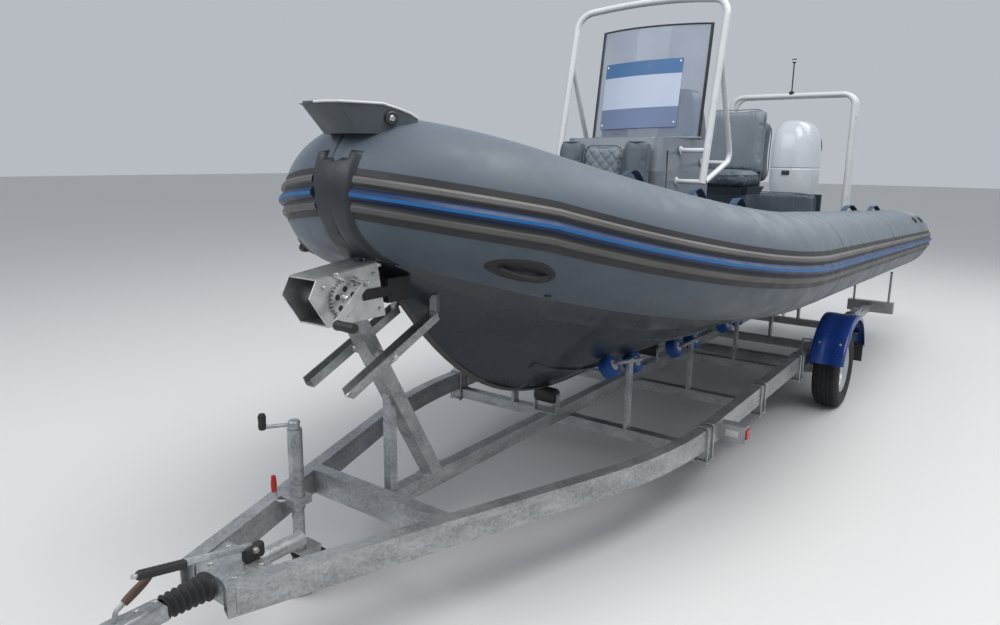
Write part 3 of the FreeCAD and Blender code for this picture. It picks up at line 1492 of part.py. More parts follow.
doc.recompute()
for thing in doc.Objects:
    state = set(thing.State) & {"Invalid", "Error"}
    if state:
        raise RuntimeError("%s is %s" % (thing.Label, sorted(state)))
os.makedirs("parts", exist_ok=True)
for thing in NODES:
    if thing.Shape.isNull() or not thing.Shape.isValid():
        raise RuntimeError("%s has a bad shape" % thing.Label)
for thing in NODES:
    thing.Shape.exportStep(os.path.join("parts", thing.Label + ".step"))
    print("%-26s solids %3d  volume %10.3f litres" % (thing.Label, len(thing.Shape.Solids), thing.Shape.Volume / 1e6))
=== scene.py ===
import json
import math

import bmesh
import bpy
from mathutils import Matrix, Vector


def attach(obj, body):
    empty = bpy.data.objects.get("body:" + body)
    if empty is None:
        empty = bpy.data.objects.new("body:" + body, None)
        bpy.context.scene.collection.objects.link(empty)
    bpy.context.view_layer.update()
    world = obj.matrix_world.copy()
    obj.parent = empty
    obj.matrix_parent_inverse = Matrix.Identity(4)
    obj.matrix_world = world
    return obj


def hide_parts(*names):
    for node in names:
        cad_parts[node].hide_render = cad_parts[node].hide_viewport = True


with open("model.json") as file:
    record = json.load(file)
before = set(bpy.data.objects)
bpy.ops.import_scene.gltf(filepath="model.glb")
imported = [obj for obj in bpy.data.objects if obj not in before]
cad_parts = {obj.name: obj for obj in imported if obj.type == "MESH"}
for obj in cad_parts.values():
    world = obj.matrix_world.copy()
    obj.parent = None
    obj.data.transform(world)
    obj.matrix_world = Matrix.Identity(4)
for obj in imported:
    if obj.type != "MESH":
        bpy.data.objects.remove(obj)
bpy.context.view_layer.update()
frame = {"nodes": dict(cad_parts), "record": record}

AXLE_X = -0.895
ROOT = "trailer_and_boat"
SIDES = (("port", 1), ("starboard", -1))
X_AXIS, Y_AXIS, Z_AXIS = Vector((1, 0, 0)), Vector((0, 1, 0)), Vector((0, 0, 1))
TIP = 0.2  # radius in millimetres at which a turned profile ends on its axis
NAME_SHIFT = 2000  # added to a place in a name, so that no name holds a minus sign


def at(x, y, z):
    """A point given in millimetres from the wheel axle, the centre line and the floor."""
    return Vector((x / 1000 + AXLE_X, y / 1000, z / 1000))


def upwards(direction):
    """The direction or its reverse, whichever points up."""
    return direction if direction.z > 0 else -direction


def turns(count):
    """Equal angles round a circle."""
    return [2 * math.pi * step / count for step in range(count)]


def circle(centre, first, second, radius, count):
    """Points round a centre, in the plane of two directions."""
    return [centre + (first * math.cos(turn) + second * math.sin(turn)) * radius for turn in turns(count)]


def fuller(angle, power):
    """A place on the unit circle, pushed towards the corners where power is under one."""
    cosine, sine = math.cos(angle), math.sin(angle)
    return math.copysign(abs(cosine) ** power, cosine), math.copysign(abs(sine) ** power, sine)


# Materials

def new_material(name, colour, roughness, metallic=0.0):
    """A Principled material and its node tree."""
    material = bpy.data.materials.new(name)
    material.use_nodes = True
    shader = material.node_tree.nodes["Principled BSDF"]
    shader.inputs["Base Color"].default_value = (*colour, 1)
    shader.inputs["Roughness"].default_value = roughness
    shader.inputs["Metallic"].default_value = metallic
    material.diffuse_color = (*colour, 1)
    return material


def coordinates(material, stretch=(1, 1, 1)):
    """Object coordinates, stretched along the axes."""
    nodes, links = material.node_tree.nodes, material.node_tree.links
    source = nodes.new("ShaderNodeTexCoord")
    mapping = nodes.new("ShaderNodeMapping")
    mapping.inputs["Scale"].default_value = stretch
    links.new(source.outputs["Object"], mapping.inputs["Vector"])
    return mapping.outputs["Vector"]


NOISE_ROUGHNESS = 0.55


def noise(material, scale, detail=4, stretch=(1, 1, 1)):
    """A noise texture's value in object coordinates."""
    texture = material.node_tree.nodes.new("ShaderNodeTexNoise")
    texture.inputs["Scale"].default_value = scale
    texture.inputs["Detail"].default_value = detail
    texture.inputs["Roughness"].default_value = NOISE_ROUGHNESS
    material.node_tree.links.new(coordinates(material, stretch), texture.inputs["Vector"])
    return texture.outputs["Fac"]


def cells(material, scale, output="Color"):
    """One output of a cell texture in object coordinates."""
    texture = material.node_tree.nodes.new("ShaderNodeTexVoronoi")
    texture.inputs["Scale"].default_value = scale
    material.node_tree.links.new(coordinates(material), texture.inputs["Vector"])
    return texture.outputs[output]


def ramp(material, value, low, high, from_low=0.35, from_high=0.65):
    """Map a texture's value to a range."""
    node = material.node_tree.nodes.new("ShaderNodeMapRange")
    node.inputs["From Min"].default_value = from_low
    node.inputs["From Max"].default_value = from_high
    node.inputs["To Min"].default_value = low
    node.inputs["To Max"].default_value = high
    material.node_tree.links.new(value, node.inputs["Value"])
    return node.outputs["Result"]


def tint(material, value, dark, light):
    """Let a value choose between two colours for the base colour."""
    mix = material.node_tree.nodes.new("ShaderNodeMix")
    mix.data_type = "RGBA"
    mix.inputs["A"].default_value = (*dark, 1)
    mix.inputs["B"].default_value = (*light, 1)
    links = material.node_tree.links
    links.new(value, mix.inputs["Factor"])
    links.new(mix.outputs["Result"], material.node_tree.nodes["Principled BSDF"].inputs["Base Color"])
    return mix.outputs["Result"]


def gloss(material, value):
    """Let a value set the roughness."""
    shader = material.node_tree.nodes["Principled BSDF"]
    material.node_tree.links.new(value, shader.inputs["Roughness"])


def relief(material, heights, distance, strength=1.0):
    """Bump from one texture or the sum of several."""
    nodes, links = material.node_tree.nodes, material.node_tree.links
    shader = nodes["Principled BSDF"]
    normal = None
    for height in heights:
        bump = nodes.new("ShaderNodeBump")
        bump.inputs["Distance"].default_value = distance
        bump.inputs["Strength"].default_value = strength
        links.new(height, bump.inputs["Height"])
        if normal:
            links.new(normal, bump.inputs["Normal"])
        normal = bump.outputs["Normal"]
    links.new(normal, shader.inputs["Normal"])


def shade(colour, factor):
    """A colour made lighter or darker."""
    return tuple(part * factor for part in colour)


def worn(name, colour, roughness, metallic=0.0, spread=0.18, scale=3.0, grain=900.0, depth=0.0002):
    """Plastic, rubber, paint or fabric: slow colour drift, uneven gloss and a fine grain."""
    material = new_material(name, colour, roughness, metallic)
    slow = noise(material, scale, 6)
    tint(material, ramp(material, slow, 0, 1), shade(colour, 1 - spread), shade(colour, 1 + spread))
    gloss(material, ramp(material, noise(material, scale * 4, 5), roughness - 0.07, roughness + 0.09))
    relief(material, [noise(material, grain, 3)], depth, 0.5)
    return material


def galvanised():
    """Zinc with its spangle, duller patches and run marks."""
    colour = (0.40, 0.42, 0.43)
    material = new_material("galvanised", colour, 0.45, 0.7)
    nodes, links = material.node_tree.nodes, material.node_tree.links
    spangle = cells(material, 95, "Color")
    split = nodes.new("ShaderNodeSeparateColor")
    links.new(spangle, split.inputs["Color"])
    patches = noise(material, 5, 6, (1, 1, 2.5))
    blend = nodes.new("ShaderNodeMath")
    blend.operation = "MULTIPLY_ADD"
    links.new(split.outputs["Red"], blend.inputs[0])
    blend.inputs[1].default_value = 0.45
    links.new(ramp(material, patches, 0, 0.6), blend.inputs[2])
    tint(material, blend.outputs["Value"], (0.25, 0.265, 0.275), (0.50, 0.52, 0.53))
    gloss(material, ramp(material, split.outputs["Green"], 0.34, 0.58, 0, 1))
    relief(material, [noise(material, 60, 5)], 0.0006, 0.35)
    return material


def tube_fabric():
    """Coated fabric: a fine weave under the coating and slight streaks of dust."""
    colour = (0.086, 0.112, 0.142)
    material = new_material("tube_fabric", colour, 0.5)
    streaks = noise(material, 1.4, 8)
    tint(material, ramp(material, streaks, 0, 1, 0.3, 0.7), shade(colour, 0.92), shade(colour, 1.09))
    gloss(material, ramp(material, noise(material, 9, 6), 0.40, 0.60))
    weave = material.node_tree.nodes.new("ShaderNodeTexWave")
    weave.inputs["Scale"].default_value = 420
    weave.inputs["Distortion"].default_value = 0.6
    material.node_tree.links.new(coordinates(material), weave.inputs["Vector"])
    relief(material, [weave.outputs["Fac"], noise(material, 700, 3), noise(material, 1.6, 2)], 0.00025,
            0.22)
    shader = material.node_tree.nodes["Principled BSDF"]
    shader.inputs["Sheen Weight"].default_value = 0.12
    shader.inputs["Sheen Roughness"].default_value = 0.5
    return material


def gelcoat(name, colour, roughness=0.22):
    """Polished moulding under a thin clear coat."""
    material = worn(name, colour, roughness, 0, 0.035, 1.8, 30, 0.00004)
    shader = material.node_tree.nodes["Principled BSDF"]
    shader.inputs["Coat Weight"].default_value = 0.35
    shader.inputs["Coat Roughness"].default_value = 0.12
    return material


def vinyl(name, colour):
    """Marine upholstery: leather-like grain."""
    material = worn(name, colour, 0.52, 0, 0.10, 6, 1, 0)
    relief(material, [cells(material, 520, "Distance"), noise(material, 60, 4)], 0.0005, 0.35)
    return material


def smoked_acrylic():
    """The tinted screen that can be seen through."""
    material = new_material("smoked_acrylic", (0.30, 0.36, 0.46), 0.08)
    shader = material.node_tree.nodes["Principled BSDF"]
    shader.inputs["Alpha"].default_value = 0.42
    shader.inputs["IOR"].default_value = 1.49
    tint(material, ramp(material, noise(material, 4, 4), 0, 1), (0.27, 0.32, 0.42), (0.34, 0.40, 0.50))
    return material


# Plastic, rubber, metal and paint: colour, roughness, metallic, spread, scale, grain, depth
WORN = {
    "strake_grey": ((0.120, 0.115, 0.112), 0.5),
    "strake_dark": ((0.045, 0.045, 0.046), 0.5),
    "band_rubber": ((0.026, 0.032, 0.040), 0.42, 0, 0.15, 5, 300, 0.0002),
    "strake_rubber": ((0.05, 0.05, 0.052), 0.55),
    "strake_black": ((0.022, 0.023, 0.025), 0.5),
    # The strake's blue ridge as painted light: a bright copy of the blue for the painted highlight on its
    # crest, a deep copy for the painted shade on its sides
    "blue_crest_painted_highlight": ((0.014, 0.15, 0.42), 0.42, 0, 0.08),
    "blue_sides_painted_shade": ((0.004, 0.025, 0.09), 0.45, 0, 0.08),
    "black_rubber": ((0.020, 0.020, 0.022), 0.6, 0, 0.2, 5, 500, 0.0004),
    "deck_grey": ((0.22, 0.225, 0.23), 0.7, 0, 0.1, 3, 340, 0.0009),
    "moulded_grey": ((0.105, 0.122, 0.140), 0.5, 0, 0.12, 5, 420, 0.0005),
    "tyre_rubber": ((0.022, 0.022, 0.023), 0.78, 0, 0.25, 9, 420, 0.0006),
    "rim_silver": ((0.46, 0.47, 0.48), 0.36, 0.6, 0.08, 8, 300, 0.0001),
    "roller_blue": ((0.012, 0.085, 0.36), 0.42, 0, 0.12, 12, 300, 0.0003),
    "roller_black": ((0.022, 0.022, 0.023), 0.55),
    "placard_white": ((0.50, 0.56, 0.70), 0.5, 0, 0.03),
    "placard_grey": ((0.16, 0.20, 0.34), 0.5, 0, 0.04),
    "placard_blue": ((0.06, 0.16, 0.34), 0.5, 0, 0.05),
    "dial_black": ((0.010, 0.011, 0.012), 0.25),
    "lens_red": ((0.42, 0.010, 0.010), 0.16, 0, 0.08, 60, 900, 0.0004),
    "lens_amber": ((0.62, 0.16, 0.010), 0.16, 0, 0.08, 60, 900, 0.0004),
    "lens_white": ((0.66, 0.67, 0.68), 0.14, 0, 0.05, 60, 900, 0.0004),
    "handle_red": ((0.42, 0.018, 0.014), 0.42),
    "grip_brown": ((0.10, 0.055, 0.035), 0.55),
    "hub_white": ((0.62, 0.63, 0.63), 0.45),
    "strap_webbing": ((0.020, 0.035, 0.075), 0.75, 0, 0.2, 30, 1600, 0.0006),
    "seam_tape": ((0.102, 0.128, 0.156), 0.5),
    "strap_blue": ((0.030, 0.060, 0.115), 0.62, 0, 0.2, 8, 1400, 0.0006),
    "hoop_white": ((0.60, 0.62, 0.64), 0.3, 0, 0.04, 5, 250, 0.0001),
    "helm_black": ((0.016, 0.016, 0.017), 0.45),
    "leg_paint": ((0.62, 0.63, 0.64), 0.34, 0, 0.06, 6, 280, 0.0002),
    "clamp_dark": ((0.05, 0.05, 0.055), 0.42, 0.3),
    "propeller_steel": ((0.60, 0.60, 0.61), 0.24, 1.0, 0.08, 14, 260, 0.0001),
    "winch_steel": ((0.52, 0.53, 0.52), 0.36, 0.85, 0.14, 18, 260, 0.0002),
    "lamp_mix": ((0.42, 0.43, 0.44), 0.42, 0.6, 0.14, 18, 260, 0.0002),
}
GELCOATS = {
    "hull_gelcoat": ((0.026, 0.036, 0.048), 0.32),
    "guard_blue": ((0.010, 0.045, 0.24), 0.3),
    "console_grp": ((0.150, 0.175, 0.205), 0.34),
    "pod_dark": ((0.062, 0.075, 0.092), 0.34),
    "cowl_white": ((0.60, 0.63, 0.67), 0.2),
}
VINYLS = {
    # Pale pad vinyl; on the helm's front pad it is painted light, against painted shade on the pad behind
    # it
    "pad_light": (0.165, 0.190, 0.225),
    "upholstery_grey": (0.085, 0.105, 0.130),
}
MATERIALS = {"tube_fabric": tube_fabric(), "galvanised": galvanised(), "smoked_glass": smoked_acrylic()}
MATERIALS.update({name: worn(name, *values) for name, values in WORN.items()})
MATERIALS.update({name: gelcoat(name, *values) for name, values in GELCOATS.items()})
MATERIALS.update({name: vinyl(name, colour) for name, colour in VINYLS.items()})

for entry in frame["record"]["subparts"]:
    piece = frame["nodes"][entry["node"]]
    piece.data.materials.clear()
    piece.data.materials.append(MATERIALS[entry["material_slot"]])
    for face in piece.data.polygons:
        face.material_index = 0


# Camera, light and floor

def camera():
    """The place, aim, roll and lens that were fitted to the photograph."""
    yaw, pitch, roll = math.radians(-143.95), math.radians(-11.53), math.radians(0.67)
    view = Vector((math.cos(pitch) * math.cos(yaw), math.cos(pitch) * math.sin(yaw), math.sin(pitch)))
    level_right = Vector((math.sin(yaw), -math.cos(yaw), 0))
    level_up = level_right.cross(view)
    right = math.cos(roll) * level_right + math.sin(roll) * level_up
    up = math.cos(roll) * level_up - math.sin(roll) * level_right
    data = bpy.data.cameras.new("photo_camera")
    data.lens = 26.24
    data.sensor_width = 36
    data.shift_y = -0.0065
    data.clip_end = 200
    eye = bpy.data.objects.new("photo_camera", data)
    bpy.context.scene.collection.objects.link(eye)
    turned = Matrix((right, up, -view)).transposed().to_4x4()
    eye.matrix_world = Matrix.Translation(at(5810, 2090, 1828)) @ turned
    bpy.context.scene.camera = eye


camera()


def floor_material():
    """Pale where it is seen or mirrored; darker for the light it throws back, like the yard."""
    material = new_material("studio_floor", (0.62, 0.615, 0.61), 0.8)
    nodes, links = material.node_tree.nodes, material.node_tree.links
    path = nodes.new("ShaderNodeLightPath")
    seen = path.outputs["Is Camera Ray"]
    for ray in ("Is Glossy Ray", "Is Transmission Ray"):
        either = nodes.new("ShaderNodeMath")
        either.operation = "MAXIMUM"
        links.new(seen, either.inputs[0])
        links.new(path.outputs[ray], either.inputs[1])
        seen = either.outputs["Value"]
    tint(material, seen, (0.30, 0.30, 0.30), (0.66, 0.655, 0.65))
    return material


def stage():
    """Floor, pale sky and three soft lamps."""
    data = bpy.data.meshes.new("floor")
    reach = 60
    data.from_pydata([(-reach, -reach, 0), (reach, -reach, 0), (reach, reach, 0), (-reach, reach, 0)], [],
            [(0, 1, 2, 3)])
    floor = bpy.data.objects.new("floor", data)
    bpy.context.scene.collection.objects.link(floor)
    data.materials.append(floor_material())
    world = bpy.data.worlds.new("studio")
    bpy.context.scene.world = world
    world.use_nodes = True
    world.node_tree.nodes["Background"].inputs["Color"].default_value = (0.84, 0.90, 0.97, 1)
    world.node_tree.nodes["Background"].inputs["Strength"].default_value = 0.56
    # place, size, power, colour
    lamps = (
        ((2.0, 3.0, 8.0), 6.0, 540, (1.0, 0.98, 0.95)),
        ((7.5, -3.0, 6.0), 5.0, 190, (0.93, 0.96, 1.0)),
        ((-6.0, 3.0, 7.0), 6.0, 230, (0.96, 0.98, 1.0)),
    )
    for count, (place, width, power, colour) in enumerate(lamps):
        light = bpy.data.lights.new("soft_%d" % count, "AREA")
        light.size = width
        light.energy = power
        light.color = colour
        lamp = bpy.data.objects.new("soft_%d" % count, light)
        bpy.context.scene.collection.objects.link(lamp)
        lamp.location = place
        lamp.rotation_euler = (Vector((0, 0, 0.9)) - lamp.location).to_track_quat("-Z", "Y").to_euler()


stage()
bpy.context.scene.view_settings.view_transform = "Standard"

# Mesh helpers

def link(name, mesh, materials, body=ROOT, sharp=35):
    """Make an object of a mesh, shade it and let it ride."""
    piece = bpy.data.objects.new(name, mesh)
    bpy.context.scene.collection.objects.link(piece)
    for material in [materials] if isinstance(materials, str) else materials:
        mesh.materials.append(MATERIALS[material])
    for face in mesh.polygons:
        face.use_smooth = True
    mesh.set_sharp_from_angle(angle=math.radians(sharp))
    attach(piece, body)
    return piece


def from_lists(name, points, faces, materials, body=ROOT, sharp=35, indices=None):
    """An object of points and faces; indices gives each face's material."""
    mesh = bpy.data.meshes.new(name)
    mesh.from_pydata([tuple(point) for point in points], [], faces)
    if indices:
        for face, index in zip(mesh.polygons, indices):
            face.material_index = index
    work = bmesh.new()
    work.from_mesh(mesh)
    bmesh.ops.recalc_face_normals(work, faces=work.faces)
    work.to_mesh(mesh)
    work.free()
    return link(name, mesh, materials, body, sharp)


def from_bmesh(name, work, materials, body=ROOT):
    """An object of a mesh under work, which is freed."""
    mesh = bpy.data.meshes.new(name)
    bmesh.ops.recalc_face_normals(work, faces=work.faces)
    work.to_mesh(mesh)
    work.free()
    return link(name, mesh, materials, body, 35)


def merged(name, pieces, body=ROOT):
    """One object of several; each keeps its materials."""
    bpy.ops.object.select_all(action="DESELECT")
    for piece in pieces:
        piece.select_set(True)
    bpy.context.view_layer.objects.active = pieces[0]
    bpy.ops.object.join()
    pieces[0].name = name
    pieces[0].data.name = name
    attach(pieces[0], body)
    return pieces[0]


def frames_along(points):
    """Tangent and two normals at each point, carried along without twist."""
    tangents = []
    for count, point in enumerate(points):
        before = points[max(count - 1, 0)]
        after = points[min(count + 1, len(points) - 1)]
        tangents.append((after - before).normalized())
    first = Z_AXIS if abs(tangents[0].z) < 0.9 else Y_AXIS
    normal = (first - tangents[0] * first.dot(tangents[0])).normalized()
    result = []
    for count, tangent in enumerate(tangents):
        if count:
            turn = tangents[count - 1].rotation_difference(tangent)
            normal = turn @ normal
            normal = (normal - tangent * normal.dot(tangent)).normalized()
        result.append((tangent, normal, tangent.cross(normal)))
    return result


def skin(name, rings, materials, body=ROOT, closed=True, capped=True, sharp=35, strips=None):
    """A surface through rings of points; strips gives the material of each strip of the ring."""
    count = len(rings[0])
    points = [point for ring in rings for point in ring]
    faces, indices = [], []
    last = count if closed else count - 1
    for level in range(len(rings) - 1):
        for step in range(last):
            a = level * count + step
            b = level * count + (step + 1) % count
            faces.append((a, b, b + count, a + count))
            indices.append(strips[step] if strips else 0)
    if capped:
        faces.append(tuple(range(count))[::-1])
        faces.append(tuple(range((len(rings) - 1) * count, len(rings) * count)))
        indices += [0, 0]
    return from_lists(name, points, faces, materials, body, sharp, indices)


def round_bar(name, points, radius, materials, body=ROOT, sides=20, radii=None):
    """A round bar through points; radii gives each point a radius of its own. Millimetres."""
    rings = []
    for count, (point, (tangent, normal, side)) in enumerate(zip(points, frames_along(points))):
        reach = (radii[count] if radii else radius) / 1000
        rings.append(circle(point, normal, side, reach, sides))
    return skin(name, rings, materials, body)


def rounded_path(corners, radius, steps=8):
    """Points through corners, each corner rounded."""
    if not hasattr(radius, "__len__"):
        radius = [radius] * (len(corners) - 2)
    points = [corners[0]]
    for before, corner, after, reach in zip(corners, corners[1:], corners[2:], radius):
        incoming = (corner - before).normalized()
        outgoing = (after - corner).normalized()
        turn = incoming.angle(outgoing)
        if turn < 0.01:
            points.append(corner)
            continue
        back = reach * math.tan(turn / 2)
        centre = corner + (outgoing - incoming).normalized() * (reach / math.cos(turn / 2))
        axis = incoming.cross(outgoing).normalized()
        start = corner - incoming * back - centre
        for step in range(steps + 1):
            points.append(centre + Matrix.Rotation(turn * step / steps, 3, axis) @ start)
    points.append(corners[-1])
    return points


def lathe(name, profile, origin, axis, materials, body=ROOT, segments=48, sharp=35, strips=None):
    """Turn a profile of (along, radius) in millimetres about an axis through the origin."""
    axis = Vector(axis).normalized()
    first = Z_AXIS if abs(axis.z) < 0.9 else X_AXIS
    normal = (first - axis * first.dot(axis)).normalized()
    side = axis.cross(normal)
    rings = []
    for angle in turns(segments):
        out = normal * math.cos(angle) + side * math.sin(angle)
        rings.append([origin + (axis * along + out * radius) / 1000 for along, radius in profile])
    count = len(profile)
    points = [point for ring in rings for point in ring]
    faces, indices = [], []
    for turn in range(segments):
        after = (turn + 1) % segments
        for step in range(count - 1):
            faces.append((turn * count + step, after * count + step, after * count + step + 1,
                    turn * count + step + 1))
            indices.append(strips[step] if strips else 0)
    piece = from_lists(name, points, faces, materials, body, sharp, indices)
    work = bmesh.new()
    work.from_mesh(piece.data)
    bmesh.ops.remove_doubles(work, verts=work.verts, dist=0.00002)
    bmesh.ops.recalc_face_normals(work, faces=work.faces)
    work.to_mesh(piece.data)
    work.free()
    return piece


def block(name, low, high, bevel, materials, body=ROOT, turn=None, segments=3):
    """A box with edges rounded by bevel millimetres; turn is (point, axis, degrees)."""
    work = bmesh.new()
    bmesh.ops.create_cube(work, size=1)
    middle = (low + high) / 2
    span = high - low
    bmesh.ops.transform(work, matrix=Matrix.Translation(middle) @ Matrix.Diagonal((*span, 1)),
            verts=work.verts)
    if bevel:
        bmesh.ops.bevel(work, geom=work.edges[:], offset=bevel / 1000, segments=segments, profile=0.5,
                affect="EDGES")
    if turn:
        centre, axis, degrees = turn
        bmesh.ops.rotate(work, verts=work.verts, cent=centre,
                matrix=Matrix.Rotation(math.radians(degrees), 3, axis))
    return from_bmesh(name, work, materials, body)


def plate(name, outline, thickness, bevel, materials):
    """A flat plate: an outline pushed along a vector, with rounded edges."""
    work = bmesh.new()
    lower = [work.verts.new(point) for point in outline]
    upper = [work.verts.new(point + thickness) for point in outline]
    work.faces.new(lower[::-1])
    work.faces.new(upper)
    for step in range(len(outline)):
        after = (step + 1) % len(outline)
        work.faces.new((lower[step], lower[after], upper[after], upper[step]))
    if bevel:
        bmesh.ops.bevel(work, geom=work.edges[:], offset=bevel / 1000, segments=2, profile=0.5,
                affect="EDGES")
    return from_bmesh(name, work, materials)


def mirrored(points):
    """The same points on the other side of the boat."""
    return [Vector((point.x, -point.y, point.z)) for point in points]


def bolt(name, place, axis, size=8, material="winch_steel", body=ROOT):
    """A hexagon head on a washer; size is the head's radius in millimetres."""
    axis = Vector(axis).normalized()
    washer = lathe(name + "_washer", [(0, TIP), (0, size * 1.25), (size * 0.22, size * 1.2),
            (size * 0.22, TIP)], place, axis, material, body, 24)
    head = lathe(name, [(size * 0.2, TIP), (size * 0.2, size), (size * 0.85, size), (size, size * 0.82),
            (size, TIP)], place, axis, material, body, 6)
    return merged(name, [head, washer], body)


# Tubes: one smooth surface over all chambers

TUBE_RADIUS = 0.280
CONE_LENGTH = 0.420
TUBE_CORNERS = [at(-2750, 965, 1056), at(2600, 965, 1318), at(3712, 310, 1672), at(3712, -1, 1700)]
BOW_ARC = 0.560
BAND_HALF = 0.066


def tube_line():
    """Points of the port tube's line from the stern taper to the bow."""
    first, corner, shoulder, bow = TUBE_CORNERS
    turn = (shoulder - corner).angle(bow - shoulder)
    run = (shoulder - corner).length - BOW_ARC * math.tan(turn / 2)
    side_arc = run / math.tan((corner - first).angle(shoulder - corner) / 2)
    path = rounded_path(TUBE_CORNERS, [side_arc, BOW_ARC], 40)[:-1]
    ahead = (corner - first).normalized()
    straight = (path[1] - first).length
    line = [first + ahead * (straight * step / 24) for step in range(24)]
    return line + path[1:] + [Vector((path[-1].x, 0, path[-1].z + 0.004))], ahead


TUBE_LINE, TUBE_AHEAD = tube_line()


def tube_frames():
    """Point, direction, level outward and upward at each point of the line."""
    result = []
    for count, point in enumerate(TUBE_LINE):
        after = TUBE_LINE[min(count + 1, len(TUBE_LINE) - 1)]
        before = TUBE_LINE[max(count - 1, 0)]
        tangent = (after - before).normalized()
        outward = Z_AXIS.cross(tangent).normalized()
        result.append((point, tangent, outward, tangent.cross(outward)))
    return result


TUBE_FRAMES = tube_frames()
CONE = ((0.0, 1.0), (0.12, 0.997), (0.25, 0.985), (0.38, 0.962), (0.50, 0.93), (0.62, 0.875),
        (0.74, 0.80), (0.84, 0.735), (0.90, 0.70), (0.935, 0.685), (0.94, 0.62), (1.0, 0.60), (1.0, 0.52),
        (0.985, 0.48), (0.985, 0.0))


def stern_ring(share, factor, sides):
    """A ring of the cone behind the tubes; factor is its size against the tube."""
    point, tangent, outward, up = TUBE_FRAMES[0]
    centre = point - TUBE_AHEAD * CONE_LENGTH * share
    return circle(centre, outward, up, TUBE_RADIUS * max(factor, 0.002), sides)


def tubes():
    """Both side tubes, their cones and the bow as one skin."""
    sides = 72
    port = [stern_ring(share, factor, sides) for share, factor in reversed(CONE)][:-1]
    for point, tangent, outward, up in TUBE_FRAMES[:-1]:
        port.append(circle(point, outward, up, TUBE_RADIUS, sides))
    middle = circle(TUBE_FRAMES[-1][0], X_AXIS, Z_AXIS, TUBE_RADIUS, sides)
    starboard = [mirrored(ring) for ring in reversed(port)]
    piece = skin("inflated_tubes", port + [middle] + starboard, "tube_fabric", sharp=50)
    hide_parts("stern_tubes", "side_tubes", "bow_tube")


tubes()


def frame_beside(y):
    """The tube's frame near the bow at a distance from the centre line."""
    for before, after in zip(TUBE_FRAMES[::-1][1:], TUBE_FRAMES[::-1]):
        if before[0].y >= y:
            part = (y - after[0].y) / (before[0].y - after[0].y)
            return tuple(a.lerp(b, part) for a, b in zip(after, before))
    return TUBE_FRAMES[-1]


# Rubbing strake: height on the tube's side and how far it stands proud, in mm, then its material; the blue
# ridge is one blue, painted brighter on its crest as a highlight and darker on its sides as shade
STRAKE = ((-92, 0.2, "strake_black"), (-91, 2.2, "strake_black"), (-68, 2.6, "strake_black"),
        (-66, 9, "strake_grey"), (-60, 14, "strake_grey"), (-46, 14, "strake_grey"),
        (-40, 9, "strake_dark"), (-32, 5, "strake_black"), (-24, 5, "blue_sides_painted_shade"),
        (-16, 15, "blue_sides_painted_shade"), (-6, 23.5, "blue_crest_painted_highlight"), (6, 23.5, "blue_sides_painted_shade"),
        (16, 15, "blue_sides_painted_shade"), (24, 5, "strake_black"), (32, 5, "strake_dark"), (38, 9, "strake_grey"),
        (44, 15, "strake_grey"), (58, 14.5, "strake_grey"), (66, 9, "strake_black"),
        (68, 2.6, "strake_black"), (91, 2.2, "strake_black"), (92, 0.2, "strake_black"),)


def strake():
    """The striped rubbing strake on both sides, its blue ridge with a painted highlight on the crest and
    painted shade on its sides.
    """
    slots = ["strake_black", "strake_grey", "blue_crest_painted_highlight", "blue_sides_painted_shade", "strake_dark"]
    strips = [slots.index(line[2]) for line in STRAKE]
    rings = []

    def ring(centre, outward, up, radius):
        points = []
        for height, proud, material in STRAKE:
            height, proud = height / 1000, proud / 1000
            points.append(centre + outward * (math.sqrt(radius ** 2 - height ** 2) + proud) + up * height)
        return points

    point, tangent, outward, up = TUBE_FRAMES[0]
    for share, factor in reversed(CONE[:9]):
        rings.append(ring(point - TUBE_AHEAD * CONE_LENGTH * share, outward, up, TUBE_RADIUS * factor))
    for point, tangent, outward, up in TUBE_FRAMES[1:]:
        if point.y > BAND_HALF + 0.004:
            rings.append(ring(point, outward, up, TUBE_RADIUS))
    point, tangent, outward, up = frame_beside(BAND_HALF)
    rings.append(ring(point, outward.normalized(), up.normalized(), TUBE_RADIUS))
    for name, turned in (("port", rings), ("starboard", [mirrored(points) for points in rings])):
        piece = skin("strake_" + name, turned, slots, closed=True, strips=strips, sharp=28)
        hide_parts("rubbing_strakes")


strake()


# What is glued on the tubes

def frame_at(share):
    """Centre, tangent, outward and up at a share of the tube's line from stern to bow."""
    place = share * (len(TUBE_FRAMES) - 1)
    low = min(int(place), len(TUBE_FRAMES) - 2)
    part = place - low
    first, second = TUBE_FRAMES[low], TUBE_FRAMES[low + 1]
    return tuple(a.lerp(b, part) for a, b in zip(first, second))


def tube_point(share, angle, lift=0.0):
    """A point on the port tube's skin and its direction; the angle counts up from straight outboard."""
    centre, tangent, outward, up = frame_at(share)
    direction = (outward * math.cos(angle) + up * math.sin(angle)).normalized()
    return centre + direction * (TUBE_RADIUS + lift), direction


def share_at(x):
    """Share of the tube's line whose point lies at x millimetres from the axle."""
    target = x / 1000 + AXLE_X
    for count, (before, after) in enumerate(zip(TUBE_FRAMES, TUBE_FRAMES[1:])):
        if before[0].x <= target <= after[0].x:
            part = (target - before[0].x) / (after[0].x - before[0].x)
            return (count + part) / (len(TUBE_FRAMES) - 1)
    return 1.0


def x_at(share):
    """Millimetres from the axle of the point at a share of the tube's line."""
    return (frame_at(share)[0].x - AXLE_X) * 1000


def sided(points, side):
    """Points of the port side, mirrored where the side is starboard."""
    return points if side > 0 else mirrored(points)


WIDEST_LEVEL = 0.14


def stepped(levels):
    """Add levels in between, so that a patch follows the tube's round skin."""
    result = [levels[0]]
    for before, after in zip(levels, levels[1:]):
        parts = max(1, math.ceil((before[0] - after[0]) / WIDEST_LEVEL))
        for step in range(1, parts + 1):
            share = step / parts
            result.append(tuple(a + (b - a) * share for a, b in zip(before, after)))
    return result


